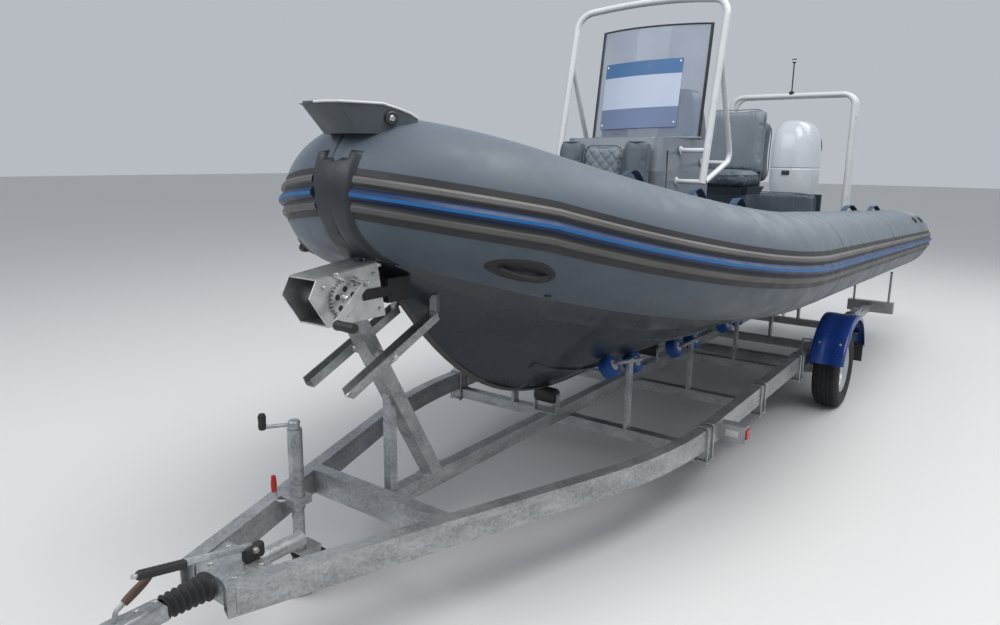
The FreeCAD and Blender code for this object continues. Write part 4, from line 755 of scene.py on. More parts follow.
def tube_patch(name, ends, angles, levels, materials, side=1, power=1.0):
    """A patch on the tube between two places along X and two angles.

    Levels are (size, rise) from its rim inwards.
    """
    middle = ((ends[0] + ends[1]) / 2, (angles[0] + angles[1]) / 2)
    half = ((ends[1] - ends[0]) / 2, (angles[1] - angles[0]) / 2)
    rings = []
    for reach, rise in stepped(levels):
        ring = []
        for turn in turns(56):
            across, upward = fuller(turn, power)
            share = share_at(middle[0] + half[0] * across * reach)
            ring.append(tube_point(share, middle[1] + half[1] * upward * reach, rise)[0])
        rings.append(sided(ring, side))
    return skin(name, rings, materials, capped=False, sharp=30)


def seam(name, share, width, side):
    """A tape round the tube over the joint of two chambers."""
    centre, tangent, outward, up = frame_at(share)
    rings = []
    for offset, rise in ((-width / 2, 0.0003), (-width / 2 + 0.002, 0.0015), (width / 2 - 0.002, 0.0015),
            (width / 2, 0.0003)):
        rings.append(sided(circle(centre + tangent * offset, outward, up, TUBE_RADIUS + rise, 72), side))
    return skin(name, rings, "seam_tape", capped=False, sharp=60)


def grab_strap(name, share, side):
    """A webbing handle on two round pads on top of the tube."""
    half = 0.0105
    angle = math.radians(96)
    pads = []
    for end, offset in (("aft", -half), ("fore", half)):
        reach = 0.0034
        pads.append(tube_patch(name + "_" + end, (x_at(share + offset - reach),
                x_at(share + offset + reach)), (angle - 0.16, angle + 0.16), ((1, 0.0004), (0.97, 0.003),
                (0.4, 0.004), (0.02, 0.004)), "tube_fabric", side))
    ring_pairs = []
    for step in range(17):
        part = step / 16
        rise = 0.006 + 0.036 * math.sin(math.pi * part)
        row = []
        for sway in (-0.070, 0.070):
            row.append(tube_point(share - half + 2 * half * part, angle + sway, rise)[0])
        for sway in (0.070, -0.070):
            row.append(tube_point(share - half + 2 * half * part, angle + sway, rise + 0.004)[0])
        ring_pairs.append(sided(row, side))
    band = skin(name + "_band", ring_pairs, "strap_blue", sharp=50)
    return merged(name, [band] + pads)


for label, side in SIDES:
    for count, x in enumerate((1293, -560, -2350)):
        seam("chamber_seam_%s_%d" % (label, count), share_at(x), 0.05, side)
    for count, x in enumerate((-1350, -300, 2200, 2580, 3000)):
        grab_strap("grab_strap_%s_%d" % (label, count), share_at(x), side)

# Oval pad with a moulded grip low on the bow
for label, side in SIDES:
    low, high = math.radians(-52), math.radians(-29)
    base = tube_patch("grip_base_" + label, (3372, 3552), (low, high), ((1, 0.0004), (0.96, 0.004),
            (0.86, 0.007), (0.80, 0.004), (0.02, 0.003)), "black_rubber", side)
    handle = []
    for step in range(13):
        part = step / 12
        centre, direction = tube_point(share_at(3403 + 118 * part), (low + high) / 2,
                0.004 + 0.024 * math.sin(math.pi * part) ** 0.6)
        handle.append(centre)
    bar = round_bar("grip_bar_" + label, sided(handle, side), 11, "black_rubber", sides=14)
    merged("bow_grip_" + label, [base, bar])
    tube_patch("grip_button_" + label, (3318, 3342), (math.radians(-71), math.radians(-65)),
            ((1, 0.0004), (0.9, 0.005), (0.02, 0.006)), "black_rubber", side)

# Stern: grey scuff patch, dark fittings and the pale rim at the end of each cone
for label, side in SIDES:
    for count, x in enumerate((-2560, -2150)):
        tube_patch("stern_fitting_%s_%d" % (label, count), (x - 32, x + 32),
                (math.radians(38), math.radians(52)), ((1, 0.0004), (0.95, 0.008), (0.7, 0.014),
                (0.5, 0.006), (0.02, 0.006)), "black_rubber", side)
    tube_patch("scuff_patch_" + label, (-2720, -2240), (math.radians(56), math.radians(112)),
            ((1, 0.0004), (0.985, 0.0022), (0.02, 0.0022)), "deck_grey", side, 0.35)
    rim = []
    for share, grow in ((0.925, 0.0012), (0.93, 0.006), (0.945, 0.006), (0.95, 0.0012)):
        ring = stern_ring(share, 0.69 + grow / TUBE_RADIUS, 48)
        rim.append(sided(ring, side))
    skin("cone_rim_" + label, rim, "hub_white", capped=False, sharp=60)


# Bow: the moulded step, the rubber band and the eye

def bow_step():
    """A plate wider at its top than at its foot, with a light rim and a round fitting."""
    top = 2.016
    foot = 1.907
    upper = [(4062, 0), (4060, 62), (4040, 104), (3962, 134), (3876, 154), (3816, 176), (3782, 196),
            (3742, 199)]
    lower = [(3966, 0), (3962, 66), (3942, 92), (3902, 116), (3860, 140), (3816, 164), (3780, 188),
            (3740, 192)]

    def outline(table, z):
        port = [at(x, y, z * 1000) for x, y in table]
        return port + mirrored(port[:0:-1])

    def lowered(ring):
        """The back of the plate slopes down to the tube."""
        placed = []
        for corner in ring:
            x = corner.x - AXLE_X
            drop = max(0.0, 3.856 - x) * 0.40
            placed.append(Vector((corner.x, corner.y, corner.z - drop)))
        return placed

    inner_rim = [Vector((corner.x - 0.008 * (1 if corner.x > 3.0 else 0), corner.y * 0.93,
            corner.z)) for corner in outline(upper, top)]
    rings = [
        outline(lower, foot),
        lowered([a.lerp(b, 0.5) for a, b in zip(outline(lower, foot), outline(upper, top))]),
        lowered([a.lerp(b, 0.90) for a, b in zip(outline(lower, foot), outline(upper, top))]),
        lowered(outline(upper, top - 0.008)),
        lowered(outline(upper, top)),
        lowered(inner_rim),
        lowered([corner - Vector((0, 0, 0.006)) for corner in inner_rim]),
    ]
    body = skin("bow_step_body", rings, "moulded_grey", sharp=24)
    rim_line = lowered(outline(upper, top - 0.004))
    rim = round_bar("bow_step_rim", rim_line, 4.5, "hub_white", sides=8)
    fitting = lathe("bow_step_fitting", [(-10, TIP), (-10, 26), (4, 26), (7, 22), (7, 12), (11, 9),
            (11, TIP)], at(3845, 164, 1962), Vector((0.25, 0.95, -0.12)),
            ["clamp_dark", "propeller_steel"], segments=28, strips=[0, 0, 0, 0, 1, 1])
    piece = merged("bow_step_moulding", [body, rim, fitting])
    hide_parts("bow_step")


bow_step()


def bow_band():
    """The rubber guard over the joint of the tubes: two prongs at its top, wider towards the keel."""
    columns, rows, prong_rows = 15, 56, 5
    low, high, prong = math.radians(-74), math.radians(26), math.radians(7)
    points, faces, places = [], [], {}
    for column in range(columns):
        across = -1 + 2 * column / (columns - 1)
        side = (across > 0.01) - (across < -0.01)
        last = rows + prong_rows if abs(across) > 0.42 else rows
        inner = 0.42 < abs(across) < 0.44
        edge = max(0.0, abs(across) - 0.84) / 0.16
        for row in range(last + 1):
            angle = low + (high - low) * row / rows
            if row > rows:
                angle = high + prong * (row - rows) / prong_rows
            flare = max(0.0, min(1.0, (math.radians(-18) - angle) / math.radians(50)))
            y = abs(across) * (0.066 + 0.085 * flare ** 1.5)
            top = rows if inner else last
            end = max(0.0, min(1.0, row / 2, (top - row) / 2))
            rise = 0.0004 + 0.0150 * (1 - edge ** 2) * end
            centre, tangent, outward, up = frame_beside(y)
            direction = (outward * math.cos(angle) + up * math.sin(angle)).normalized()
            point = centre + direction * (TUBE_RADIUS + rise)
            places[column, row] = len(points)
            points.append(Vector((point.x, point.y * side, point.z)))
    for column in range(columns - 1):
        for row in range(rows + prong_rows):
            corners = ((column, row), (column, row + 1), (column + 1, row + 1), (column + 1, row))
            if all(corner in places for corner in corners):
                faces.append(tuple(places[corner] for corner in corners))
    band = from_lists("bow_rubber_band", points, faces, "band_rubber", sharp=50)
    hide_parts("bow_band")


bow_band()


def bow_eye():
    """A U-bolt on its backing plate on the stem."""
    plate_piece = block("bow_eye_plate", at(3770, -24, 1395), at(3798, 24, 1455), 6, "winch_steel")
    path = rounded_path([at(3790, 0, 1405), at(3842, 0, 1400), at(3846, 0, 1446), at(3790, 0, 1446)],
            0.017, 6)
    loop = round_bar("bow_eye_loop", path, 6, "winch_steel", sides=14)
    merged("bow_eye", [plate_piece, loop])


bow_eye()


# Cushions: a crowned form, swelled as cloth, then its seams

CUTS = 18
VOXEL = 0.0075
PRESSURE = 4.0
SEAM_HALF = 0.009
QUILT_HALF = 0.010
RIM_HALF = 0.008


def in_plan(x, y, half, pull):
    """Sides that pull in between the corners, and rounded corners."""
    across = 1 - pull * (1 - y * y) * abs(x) ** 3 - 0.075 * abs(y) ** 7
    along = 1 - pull * (1 - x * x) * abs(y) ** 3 - 0.075 * abs(x) ** 7
    return x * half[0] * across, y * half[1] * along


def cushion_form(name, size_half, crown, pull):
    """A box of the given half sizes whose sides pull in between the corners and whose faces are crowned."""
    work = bmesh.new()
    bmesh.ops.create_cube(work, size=2)
    bmesh.ops.subdivide_edges(work, edges=work.edges[:], cuts=CUTS, use_grid_fill=True)
    for vert in work.verts:
        x, y, z = vert.co
        round_edge = 1 - 0.10 * (abs(z) ** 6) * (abs(x) ** 6 + abs(y) ** 6) / 2
        across, along = in_plan(x, y, size_half, pull)
        height = z * size_half[2] * (1 - 0.16 * (abs(x) ** 8 + abs(y) ** 8) / 2)
        height += crown * max(0, z) * (1 - x * x) * (1 - y * y)
        vert.co = Vector((across * round_edge, along * round_edge, height))
    mesh = bpy.data.meshes.new(name)
    work.to_mesh(mesh)
    work.free()
    return mesh


def swelled(piece, reach):
    """Swell a form as cloth under pressure; no point moves further than reach."""
    bpy.context.view_layer.objects.active = piece
    remesh = piece.modifiers.new("remesh", "REMESH")
    remesh.mode = "VOXEL"
    remesh.voxel_size = VOXEL
    bpy.ops.object.modifier_apply(modifier=remesh.name)
    before = [vert.co.copy() for vert in piece.data.vertices]
    cloth = piece.modifiers.new("cloth", "CLOTH")
    cloth.settings.use_pressure = True
    cloth.settings.uniform_pressure_force = PRESSURE
    cloth.settings.effector_weights.gravity = 0
    cloth.settings.quality = 4
    scene = bpy.context.scene
    for step in range(1, 15):
        scene.frame_set(step)
    evaluated = piece.evaluated_get(bpy.context.evaluated_depsgraph_get())
    after = [vert.co.copy() for vert in evaluated.data.vertices]
    piece.modifiers.remove(cloth)
    scene.frame_set(1)
    for vert, old, new in zip(piece.data.vertices, before, after):
        step = new - old
        if step.length > reach:
            step *= reach / step.length
        vert.co = old + step
    piece.data.update()
    return piece


def groove_depth(value, lines):
    """1 at a seam line and 0 away from it."""
    nearest = min(abs(value - line) for line in lines)
    return max(0.0, 1 - nearest / SEAM_HALF) ** 2


def seamed(piece, lines, depth, quilt=None):
    """Press sewn channels into a cushion's face: lines across it, or a quilt's pitch and extent."""
    normals = [vert.normal.copy() for vert in piece.data.vertices]
    for vert, facing in zip(piece.data.vertices, normals):
        if facing.z < 0.35:
            continue
        amount = groove_depth(vert.co.y, lines) if lines else 0.0
        if quilt:
            pitch, extent = quilt
            u, v = vert.co.x, vert.co.y
            if abs(u) < extent[0] and abs(v) < extent[1]:
                a = ((u + v) / pitch) % 1.0
                b = ((u - v) / pitch) % 1.0
                line = min(a, 1 - a, b, 1 - b) * pitch
                amount = max(amount, max(0.0, 1 - line / QUILT_HALF) ** 1.5)
            rim = max(abs(abs(u) - extent[0]), 0.0) if abs(v) < extent[1] else 1.0
            other = max(abs(abs(v) - extent[1]), 0.0) if abs(u) < extent[0] else 1.0
            amount = max(amount, max(0.0, 1 - min(rim, other) / RIM_HALF) ** 2)
        vert.co -= facing * depth * amount
    piece.data.update()
    return piece


def cushion(name, middle, half, turn, crown, pull, reach, material="upholstery_grey", body=ROOT, seams=(),
        depth=0.006, quilt=None):
    """A padded piece: half sizes along its own axes, turned by degrees about Y; z is its sitting face."""
    mesh = cushion_form(name, half, crown, pull)
    piece = link(name, mesh, material, body, 60)
    swelled(piece, reach)
    rotation = Matrix.Rotation(math.radians(turn), 4, "Y")
    if seams:
        seamed(piece, seams, depth)
    if quilt:
        seamed(piece, (), depth, quilt)
    piece.data.transform(Matrix.Translation(middle) @ rotation)
    for polygon in piece.data.polygons:
        polygon.use_smooth = True
    line = []
    for angle in turns(64):
        across, along = fuller(angle, 0.28)
        line.append(rotation @ Vector((*in_plan(across, along, half, pull), half[2] * 0.62)) + middle)
    line.append(line[0])
    cord = round_bar(name + "_piping", line, 4.2, material, body, 8)
    piece = merged(name, [piece, cord], body)
    return piece


# Console: three back pads and the seat ahead of it
seat = cushion("front_seat_cushion", at(2058, 0, 1449), (0.164, 0.322, 0.044), 0, 0.008, 0.03, 0.012,
        seams=(-0.16, 0.16))
side_pads = []
for label, side in SIDES:
    side_pads.append(cushion("front_back_pad_" + label, at(1926, side * 214, 1722), (0.205, 0.074, 0.042),
            84.6, 0.014, 0.03, 0.010, depth=0.005))
middle_pad = cushion("front_back_pad_middle", at(1918, 0, 1712), (0.195, 0.134, 0.034), 84.6, 0.008, 0.02,
        0.010, "pad_light", quilt=(0.066, (0.175, 0.118)), depth=0.008)
for piece in [seat, middle_pad] + side_pads:
    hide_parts("console_cushions")

# Helm seat: base, front pad and the pad behind it; the front pad's pale vinyl and the darker upholstery on
# the pad behind it are painted light and painted shade on one upholstery
base = cushion("helm_seat_base", at(-100, 0, 1682), (0.222, 0.256, 0.050), 0, 0.010, 0.04, 0.014,
        seams=(-0.13, 0.13))
front_pad = cushion("helm_backrest", at(-372, 0, 1975), (0.268, 0.250, 0.042), 86.7, 0.014, 0.05, 0.014,
        seams=(-0.15, 0.15), material="pad_light")
rear_pad = cushion("helm_rear_pad", at(-510, 0, 1895), (0.252, 0.246, 0.043), -93.3, 0.014, 0.05, 0.012,
        seams=(-0.14, 0.14))
for piece in (base, front_pad, rear_pad):
    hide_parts("helm_seat_cushions")

# Stern bench
lid_pad = cushion("bench_seat_pad", at(-807, 0, 1319), (0.150, 0.540, 0.026), 0, 0.008, 0.02, 0.009,
        body="bench_lid", seams=(-0.36, -0.18, 0, 0.18, 0.36))
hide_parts("bench_cushion")
back_rest = cushion("bench_back_rest", at(-1006, 0, 1430), (0.122, 0.540, 0.024), 90, 0.006, 0.02, 0.009,
        seams=(-0.36, -0.18, 0, 0.18, 0.36))
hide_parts("bench_back_pad")


# Console: pod, instruments, screen posts, blank placard and the front's panels

def console_trim():
    """Dark pod over the console's top with its rounded eyebrow, dials, plotter and switches."""
    sections = [
        (1948, 1404, 1104, 0.318, 60), (1990, 1408, 1108, 0.321, 62), (2090, 1402, 1132, 0.315, 64),
        (2180, 1392, 1160, 0.302, 62), (2232, 1380, 1186, 0.290, 54), (2254, 1366, 1206, 0.272, 40),
    ]
    rings = []
    for z, front, back, half, radius in sections:
        radius /= 1000
        corners = [Vector((front / 1000 + AXLE_X, side * half, z / 1000)) for side in (1, -1)]
        corners += [Vector((back / 1000 + AXLE_X, side * half, z / 1000)) for side in (-1, 1)]
        ring = []
        for count, corner in enumerate(corners):
            before, after = corners[count - 1], corners[(count + 1) % 4]
            first = corner + (before - corner).normalized() * radius
            second = corner + (after - corner).normalized() * radius
            for step in range(7):
                part = step / 6
                ring.append(first.lerp(corner, part).lerp(corner.lerp(second, part), part))
        rings.append(ring)
    pod = skin("dash_pod", rings, "pod_dark", sharp=40)
    # Dials on the pod's aft face
    for count, (y, z, radius) in enumerate(((110, 2110, 42), (215, 2110, 42), (-110, 2110, 42),
            (-215, 2110, 42), (0, 2165, 30))):
        x = 1132 + (z - 2090) * 0.311
        place = at(x + 3, y, z)
        axis = Vector((-0.955, 0, 0.297))
        lathe("dial_%d" % count, [(-4, TIP), (-4, radius), (10, radius), (12, radius * 0.94),
                (12, radius * 0.86), (4, radius * 0.84), (4, TIP)], place, axis,
                ["winch_steel", "dial_black"], segments=40, strips=[0, 0, 0, 0, 0, 1])
        tip = place + axis * 0.005
        up = Vector((0.297, 0, 0.955))
        needle = Vector((0, 0.5, 0)) + up * 0.6
        round_bar("needle_%d" % count, [tip, tip + needle.normalized() * radius * 0.0007], 1.2,
                "placard_white", sides=8)
    # Plotter between the dials
    screen_middle = at(1140, 0, 2065)
    block("plotter", screen_middle - Vector((0.014, 0.085, 0.055)),
            screen_middle + Vector((0.014, 0.085, 0.055)), 8, "dial_black", turn=(screen_middle, "Y", 17))
    # Switches by the wheel
    for count in range(6):
        place = at(1086, -60 - count * 28, 1935)
        block("switch_%d" % count, place - Vector((0.014, 0.010, 0.016)),
                place + Vector((0.010, 0.010, 0.016)), 3, "helm_black")


def console_panels():
    """Door, latch, seam and vents of each side, and the lip at the screen's foot."""
    for label, side in SIDES:
        outline = ((1250, 1060), (1640, 1060), (1640, 1560), (1250, 1560))
        points = [at(x, side * 341, z) for x, z in outline]
        points = rounded_path(points + points[:1] + [points[0].lerp(points[1], 0.5)], 0.045, 6)[1:]
        round_bar("side_door_seam_" + label, points, 3.5, "dial_black", sides=8)
        place = at(1290, side * 341, 1310)
        lathe("side_door_latch_" + label, [(-2, TIP), (-2, 28), (4, 28), (6, 24), (4, 18), (4, TIP)],
                place, Y_AXIS * side, "winch_steel", segments=32)
        seam_line = [at(1790, side * 340.5, 1450), at(1790, side * 340.5, 1600),
                at(1788, side * 340.2, 1750), at(1772, side * 335, 1880)]
        round_bar("moulding_seam_" + label, seam_line, 3, "dial_black", sides=8)
        for count, z in enumerate((1180, 1230, 1280)):
            block("side_vent_%s_%d" % (label, count), at(1140, side * 340 - 3, z - 7),
                    at(1220, side * 340 + 3, z + 7), 2.5, "helm_black")
    # Light lip along the screen's foot and two cap screws
    lip = [at(1386, -376, 1958), at(1440, -270, 1958), at(1474, -120, 1958), at(1484, 0, 1958),
            at(1474, 120, 1958), at(1440, 270, 1958), at(1386, 376, 1958)]
    round_bar("screen_foot_lip", lip, 10, "console_grp", sides=12)
    for label, side in SIDES:
        place = at(1800, side * 250, 1944)
        lathe("cap_screw_" + label, [(-6, TIP), (-6, 12), (3, 12), (6, 8), (6, TIP)], place,
                Vector((0.5, 0, 1)), "hub_white", segments=24)


def screen_trim():
    """Dark posts at the screen's edges and the blank placard on its face."""
    half, bow = 0.375, 0.095
    radius = (half ** 2 + bow ** 2) / (2 * bow)
    centre_x = 1.390 + bow - radius
    base = 1.9503
    lean = Vector((-0.115, 0, 0.690))

    def face(angle, rise, out=0.0):
        foot = Vector((centre_x + AXLE_X + (radius + out) * math.cos(angle),
                (radius + out) * math.sin(angle), base))
        return foot + lean * rise

    edge = math.asin(half / radius)
    for label, side in SIDES:
        line = [face(side * (edge - 0.012), rise, -0.003) for rise in (0.0, 0.5, 1.0)]
        round_bar("screen_post_" + label, line, 10, "helm_black", sides=12)
    top_line = [face(-edge + 2 * edge * step / 20, 1.0, -0.003) for step in range(21)]
    round_bar("screen_top_trim", top_line, 6, "helm_black", sides=10)
    # Placard: blue band above, white field and a grey-blue foot, held by four screws
    columns = 16
    low_angle, high_angle = -edge * 0.80, edge * 0.60
    strips = ((0.10, 0.28, "placard_grey"), (0.28, 0.57, "placard_white"), (0.57, 0.70, "placard_blue"))
    for low, high, material in strips:
        points, faces = [], []
        for out in (0.0012, 0.0042):
            for step in range(columns + 1):
                angle = low_angle + (high_angle - low_angle) * step / columns
                tilt = 0.02 * (step / columns - 0.5)
                points.append(face(angle, low + tilt, out))
                points.append(face(angle, high + tilt, out))
        stride = 2 * (columns + 1)
        for step in range(columns):
            a = 2 * step
            faces.append((a, a + 1, a + 3, a + 2))
            faces.append((stride + a, stride + a + 2, stride + a + 3, stride + a + 1))
            faces.append((a, a + 2, stride + a + 2, stride + a))
            faces.append((a + 1, stride + a + 1, stride + a + 3, a + 3))
        faces.append((0, stride, stride + 1, 1))
        faces.append((2 * columns, 2 * columns + 1, stride + 2 * columns + 1, stride + 2 * columns))
        from_lists("placard_%d" % round(low * 1000), points, faces, material)
    for count, (angle, rise) in enumerate(((low_angle + 0.02, 0.13), (high_angle - 0.02, 0.15),
            (low_angle + 0.02, 0.665), (high_angle - 0.02, 0.685))):
        place = face(angle, rise, 0.004)
        lathe("placard_screw_%d" % count, [(-1, TIP), (-1, 7), (1.5, 6), (2, TIP)], place,
                Vector((1, 0, 0.16)), "winch_steel", segments=20)


console_trim()
console_panels()
screen_trim()


def hoop_details():
    """Base flanges with bolts on the hoop."""
    for label, side in SIDES:
        for count, (x, z) in enumerate(((1600, 1880), (1257, 1809), (1640, 1700))):
            place = at(x, side * 341.5, z)
            lathe("hoop_flange_%s_%d" % (label, count), [(-1, TIP), (-1, 26), (5, 25), (7, 16), (7, TIP)],
                    place, Y_AXIS * side, "hoop_white", segments=36)
            for step in range(3):
                angle = 2 * math.pi * step / 3 + 0.5
                bolt("hoop_bolt_%s_%d_%d" % (label, count, step), place + Vector((0.020 * math.cos(angle),
                        side * 0.005, 0.020 * math.sin(angle))), Y_AXIS * side, 3.5)


hoop_details()


# Helm wheel and throttle

def helm_parts():
    """Steering wheel: grip with finger humps, three spokes and hub."""
    axis = Vector((math.cos(math.radians(25)), 0, -math.sin(math.radians(25))))
    centre = at(1005, 60, 2010)
    up = Vector((math.sin(math.radians(25)), 0, math.cos(math.radians(25))))
    side = Y_AXIS
    # Grip with finger humps on its inner side
    rings = []
    for angle in turns(96):
        out = up * math.cos(angle) + side * math.sin(angle)
        hump = 0.0010 * (math.cos(angle * 24) + 1) / 2
        middle = centre + out * 0.171
        ring = []
        for around in turns(18):
            reach = 0.0140 + hump * max(0.0, -math.cos(around))
            ring.append(middle + (out * math.cos(around) + axis * math.sin(around)) * reach)
        rings.append(ring)
    rings.append(rings[0])
    grip = skin("helm_grip", rings, "helm_black", "helm_wheel", capped=False, sharp=60)
    spokes = []
    for degrees in (90, 210, 330):
        angle = math.radians(degrees)
        out = up * math.sin(angle) + side * math.cos(angle)
        across = axis.cross(out).normalized()
        rows = []
        for along, width, thick, drop in ((0.028, 0.024, 0.006, 0.006), (0.07, 0.018, 0.0045, 0.012),
                (0.12, 0.014, 0.0042, 0.008), (0.166, 0.016, 0.0045, 0.0)):
            middle = centre + out * along + axis * drop
            rows.append(circle(middle, across * width, axis * thick, 1, 14))
        spokes.append(skin("helm_spoke_%d" % degrees, rows, "propeller_steel", "helm_wheel"))
    hub = lathe("helm_hub", [(-30, TIP), (-30, 20), (-26, 30), (-12, 37), (12, 37), (30, 28), (34, TIP)],
            centre, axis, "helm_black", "helm_wheel", 40)
    whole = merged("helm_wheel_dressed", [grip, hub] + spokes, "helm_wheel")
    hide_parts("helm_wheel")


helm_parts()


def throttle_parts():
    """Throttle box, boss, lever and knob."""
    case = block("throttle_case", at(1021, -269, 1871), at(1129, -181, 1959), 14, "helm_black", segments=4)
    boss = lathe("throttle_boss", [(-4, TIP), (-4, 34), (10, 32), (14, 24), (14, TIP)],
            at(1075, -181, 1918), Y_AXIS, "clamp_dark", segments=36)
    lever = round_bar("throttle_lever", rounded_path([at(1075, -172, 1918), at(1062, -168, 1990),
            at(1022, -205, 2100)], 0.03, 6), 8, "propeller_steel", sides=14)
    knob = lathe("throttle_knob", [(-22, TIP), (-20, 10), (-8, 16), (10, 16), (20, 11), (23, TIP)],
            at(1020, -212, 2108), Vector((0.2, -1, 0.2)), "helm_black", segments=32)
    whole = merged("throttle_dressed", [case, boss, lever, knob])
    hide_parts("throttle")


throttle_parts()


# Outboard: cowl with its panel line and vents, propeller with twisted blades, and small fittings

def oval(x_back, x_front, half, z):
    """A level ring, fuller than an ellipse, in millimetres from the axle."""
    middle, reach = (x_back + x_front) / 2, (x_front - x_back) / 2
    ring = []
    for angle in turns(56):
        across, upward = fuller(angle, COWL_POWER)
        ring.append(at(middle + reach * across, half * upward, z))
    return ring


COWL_POWER = 0.62
# Cowl sections: height, back and front along X, half width
COWL = ((1452, -2560, -1985, 176), (1470, -2586, -1968, 190), (1530, -2612, -1952, 203),
        (1620, -2632, -1938, 211), (1742, -2638, -1930, 214), (1750, -2634, -1934, 210),
        (1758, -2634, -1934, 210), (1764, -2639, -1928, 214.5), (1850, -2636, -1926, 214),
        (1950, -2618, -1928, 211), (2040, -2588, -1938, 202), (2110, -2552, -1955, 186),
        (2165, -2510, -1980, 160), (2203, -2460, -2012, 125), (2224, -2400, -2060, 82),
        (2232, -2320, -2140, 30),)


def engine_cowl():
    """Cowl with its vents, latch and rear grip."""
    rings = [oval(back, front, half, z) for z, back, front, half in COWL]
    parts = [skin("cowl_shell", rings, "cowl_white", "outboard_steer", sharp=24)]
    for label, side in SIDES:
        for count, (x, low, high) in enumerate(((-2470, 1930, 2060), (-2110, 1470, 1500))):
            line = []
            for step in range(7):
                z = low + (high - low) * step / 6
                place = surface_of_cowl(x + (z - low) * 0.10, z)
                line.append(Vector((place.x, place.y * side, place.z)))
            parts.append(round_bar("cowl_vent_%s_%d" % (label, count), line, 6, "dial_black",
                    "outboard_steer", 10, [2, 5, 7, 7, 7, 5, 2]))
    whole = merged("engine_cowl", parts, "outboard_steer")
    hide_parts("outboard_cowl")
    block("cowl_latch", at(-1944, -38, 1690), at(-1922, 38, 1732), 6, "clamp_dark", "outboard_steer")
    block("cowl_rear_grip", at(-2646, -60, 1700), at(-2628, 60, 1738), 6, "clamp_dark", "outboard_steer")


def surface_of_cowl(x, z):
    """The port side of the cowl at a place along X and a height."""
    for lower, upper in zip(COWL, COWL[1:]):
        if lower[0] <= z <= upper[0]:
            part = (z - lower[0]) / (upper[0] - lower[0])
            back, front, half = (lower[k] + (upper[k] - lower[k]) * part for k in (1, 2, 3))
            middle, reach = (back + front) / 2, (front - back) / 2
            share = min(0.999, abs((x - middle) / reach))
            cosine = share ** (1 / COWL_POWER)
            return at(x, half * math.sqrt(1 - cosine * cosine) ** COWL_POWER + 0.5, z)
    return at(x, 0, z)


engine_cowl()


def propeller_parts():
    """Hub, nut and three twisted blades."""
    centre = at(-2510, 0, 350)
    hub = lathe("propeller_hub", [(-52, 20), (-52, 34), (-30, 40), (45, 42), (52, 40), (52, 14)], centre,
            X_AXIS, "propeller_steel", "propeller", 48)
    cone = lathe("propeller_nut", [(-66, TIP), (-64, 10), (-52, 16), (-52, TIP)], centre, X_AXIS,
            "clamp_dark", "propeller", 24)
    blades = []
    for count in range(3):
        rings = []
        for step in range(13):
            part = step / 12
            radius = 0.036 + 0.144 * part
            belly = math.sin(math.pi * min(1.0, part * 0.78 + 0.10))
            chord = 0.052 + 0.075 * belly * (1 - 0.62 * part ** 6)
            pitch = math.atan(0.36 / (2 * math.pi * max(radius, 0.06)))
            rake = -0.012 * part
            sweep = 0.30 * part ** 2
            base = 2 * math.pi * count / 3 + sweep
            ring = []
            for angle in turns(16):
                along = math.cos(angle) * chord / 2
                thick = math.sin(angle) * 0.0035 * (1.25 - part)
                around = along * math.cos(pitch) / radius
                x = along * math.sin(pitch) + thick * math.cos(pitch) + rake
                theta = base + around - thick * math.sin(pitch) / radius
                ring.append(centre + Vector((x, radius * math.sin(theta), radius * math.cos(theta))))
            rings.append(ring)
        blades.append(skin("propeller_blade_%d" % count, rings, "propeller_steel", "propeller", sharp=50))
    whole = merged("propeller_dressed", [hub, cone] + blades, "propeller")
    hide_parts("propeller")


propeller_parts()


def outboard_fittings():
    """Bolts of the clamp and the leg, the tilt rams, the water pick-up slots and the plate's edges."""
    for label, side in SIDES:
        for z in (1140, 1080, 960, 910):
            bolt("clamp_bolt_%s_%d" % (label, z), at(-1862, side * 110, z), X_AXIS, 9)
        ram = [at(-2006, side * 84, 1040), at(-2040, side * 84, 1150)]
        round_bar("tilt_ram_" + label, ram, 16, "clamp_dark", sides=18)
        for count in range(4):
            place = at(-2215 - count * 14, side * 24, 430)
            block("water_slot_%s_%d" % (label, count), place - Vector((0.003, 0.004, 0.024)),
                    place + Vector((0.003, 0.004, 0.024)), 2, "dial_black", "outboard_steer")
        line = [at(-2556, side * 107.5, 555), at(-2400, side * 109, 555), at(-2170, side * 107, 555)]
        round_bar("plate_edge_" + label, line, 4, "leg_paint", "outboard_steer", 8)
    for z in (700, 900, 1100):
        for side in (1, -1):
            bolt("leg_bolt_%d_%d" % (z, side + 1), at(-2250, side * (70 + (z - 700) * 0.06), z),
                    Y_AXIS * side, 6, "winch_steel", "outboard_steer")


outboard_fittings()


# Stern arch: white hoops, dark pole and its lamp

ARCH_FRONT, ARCH_BACK, ARCH_Y = -1908, -2040, 580


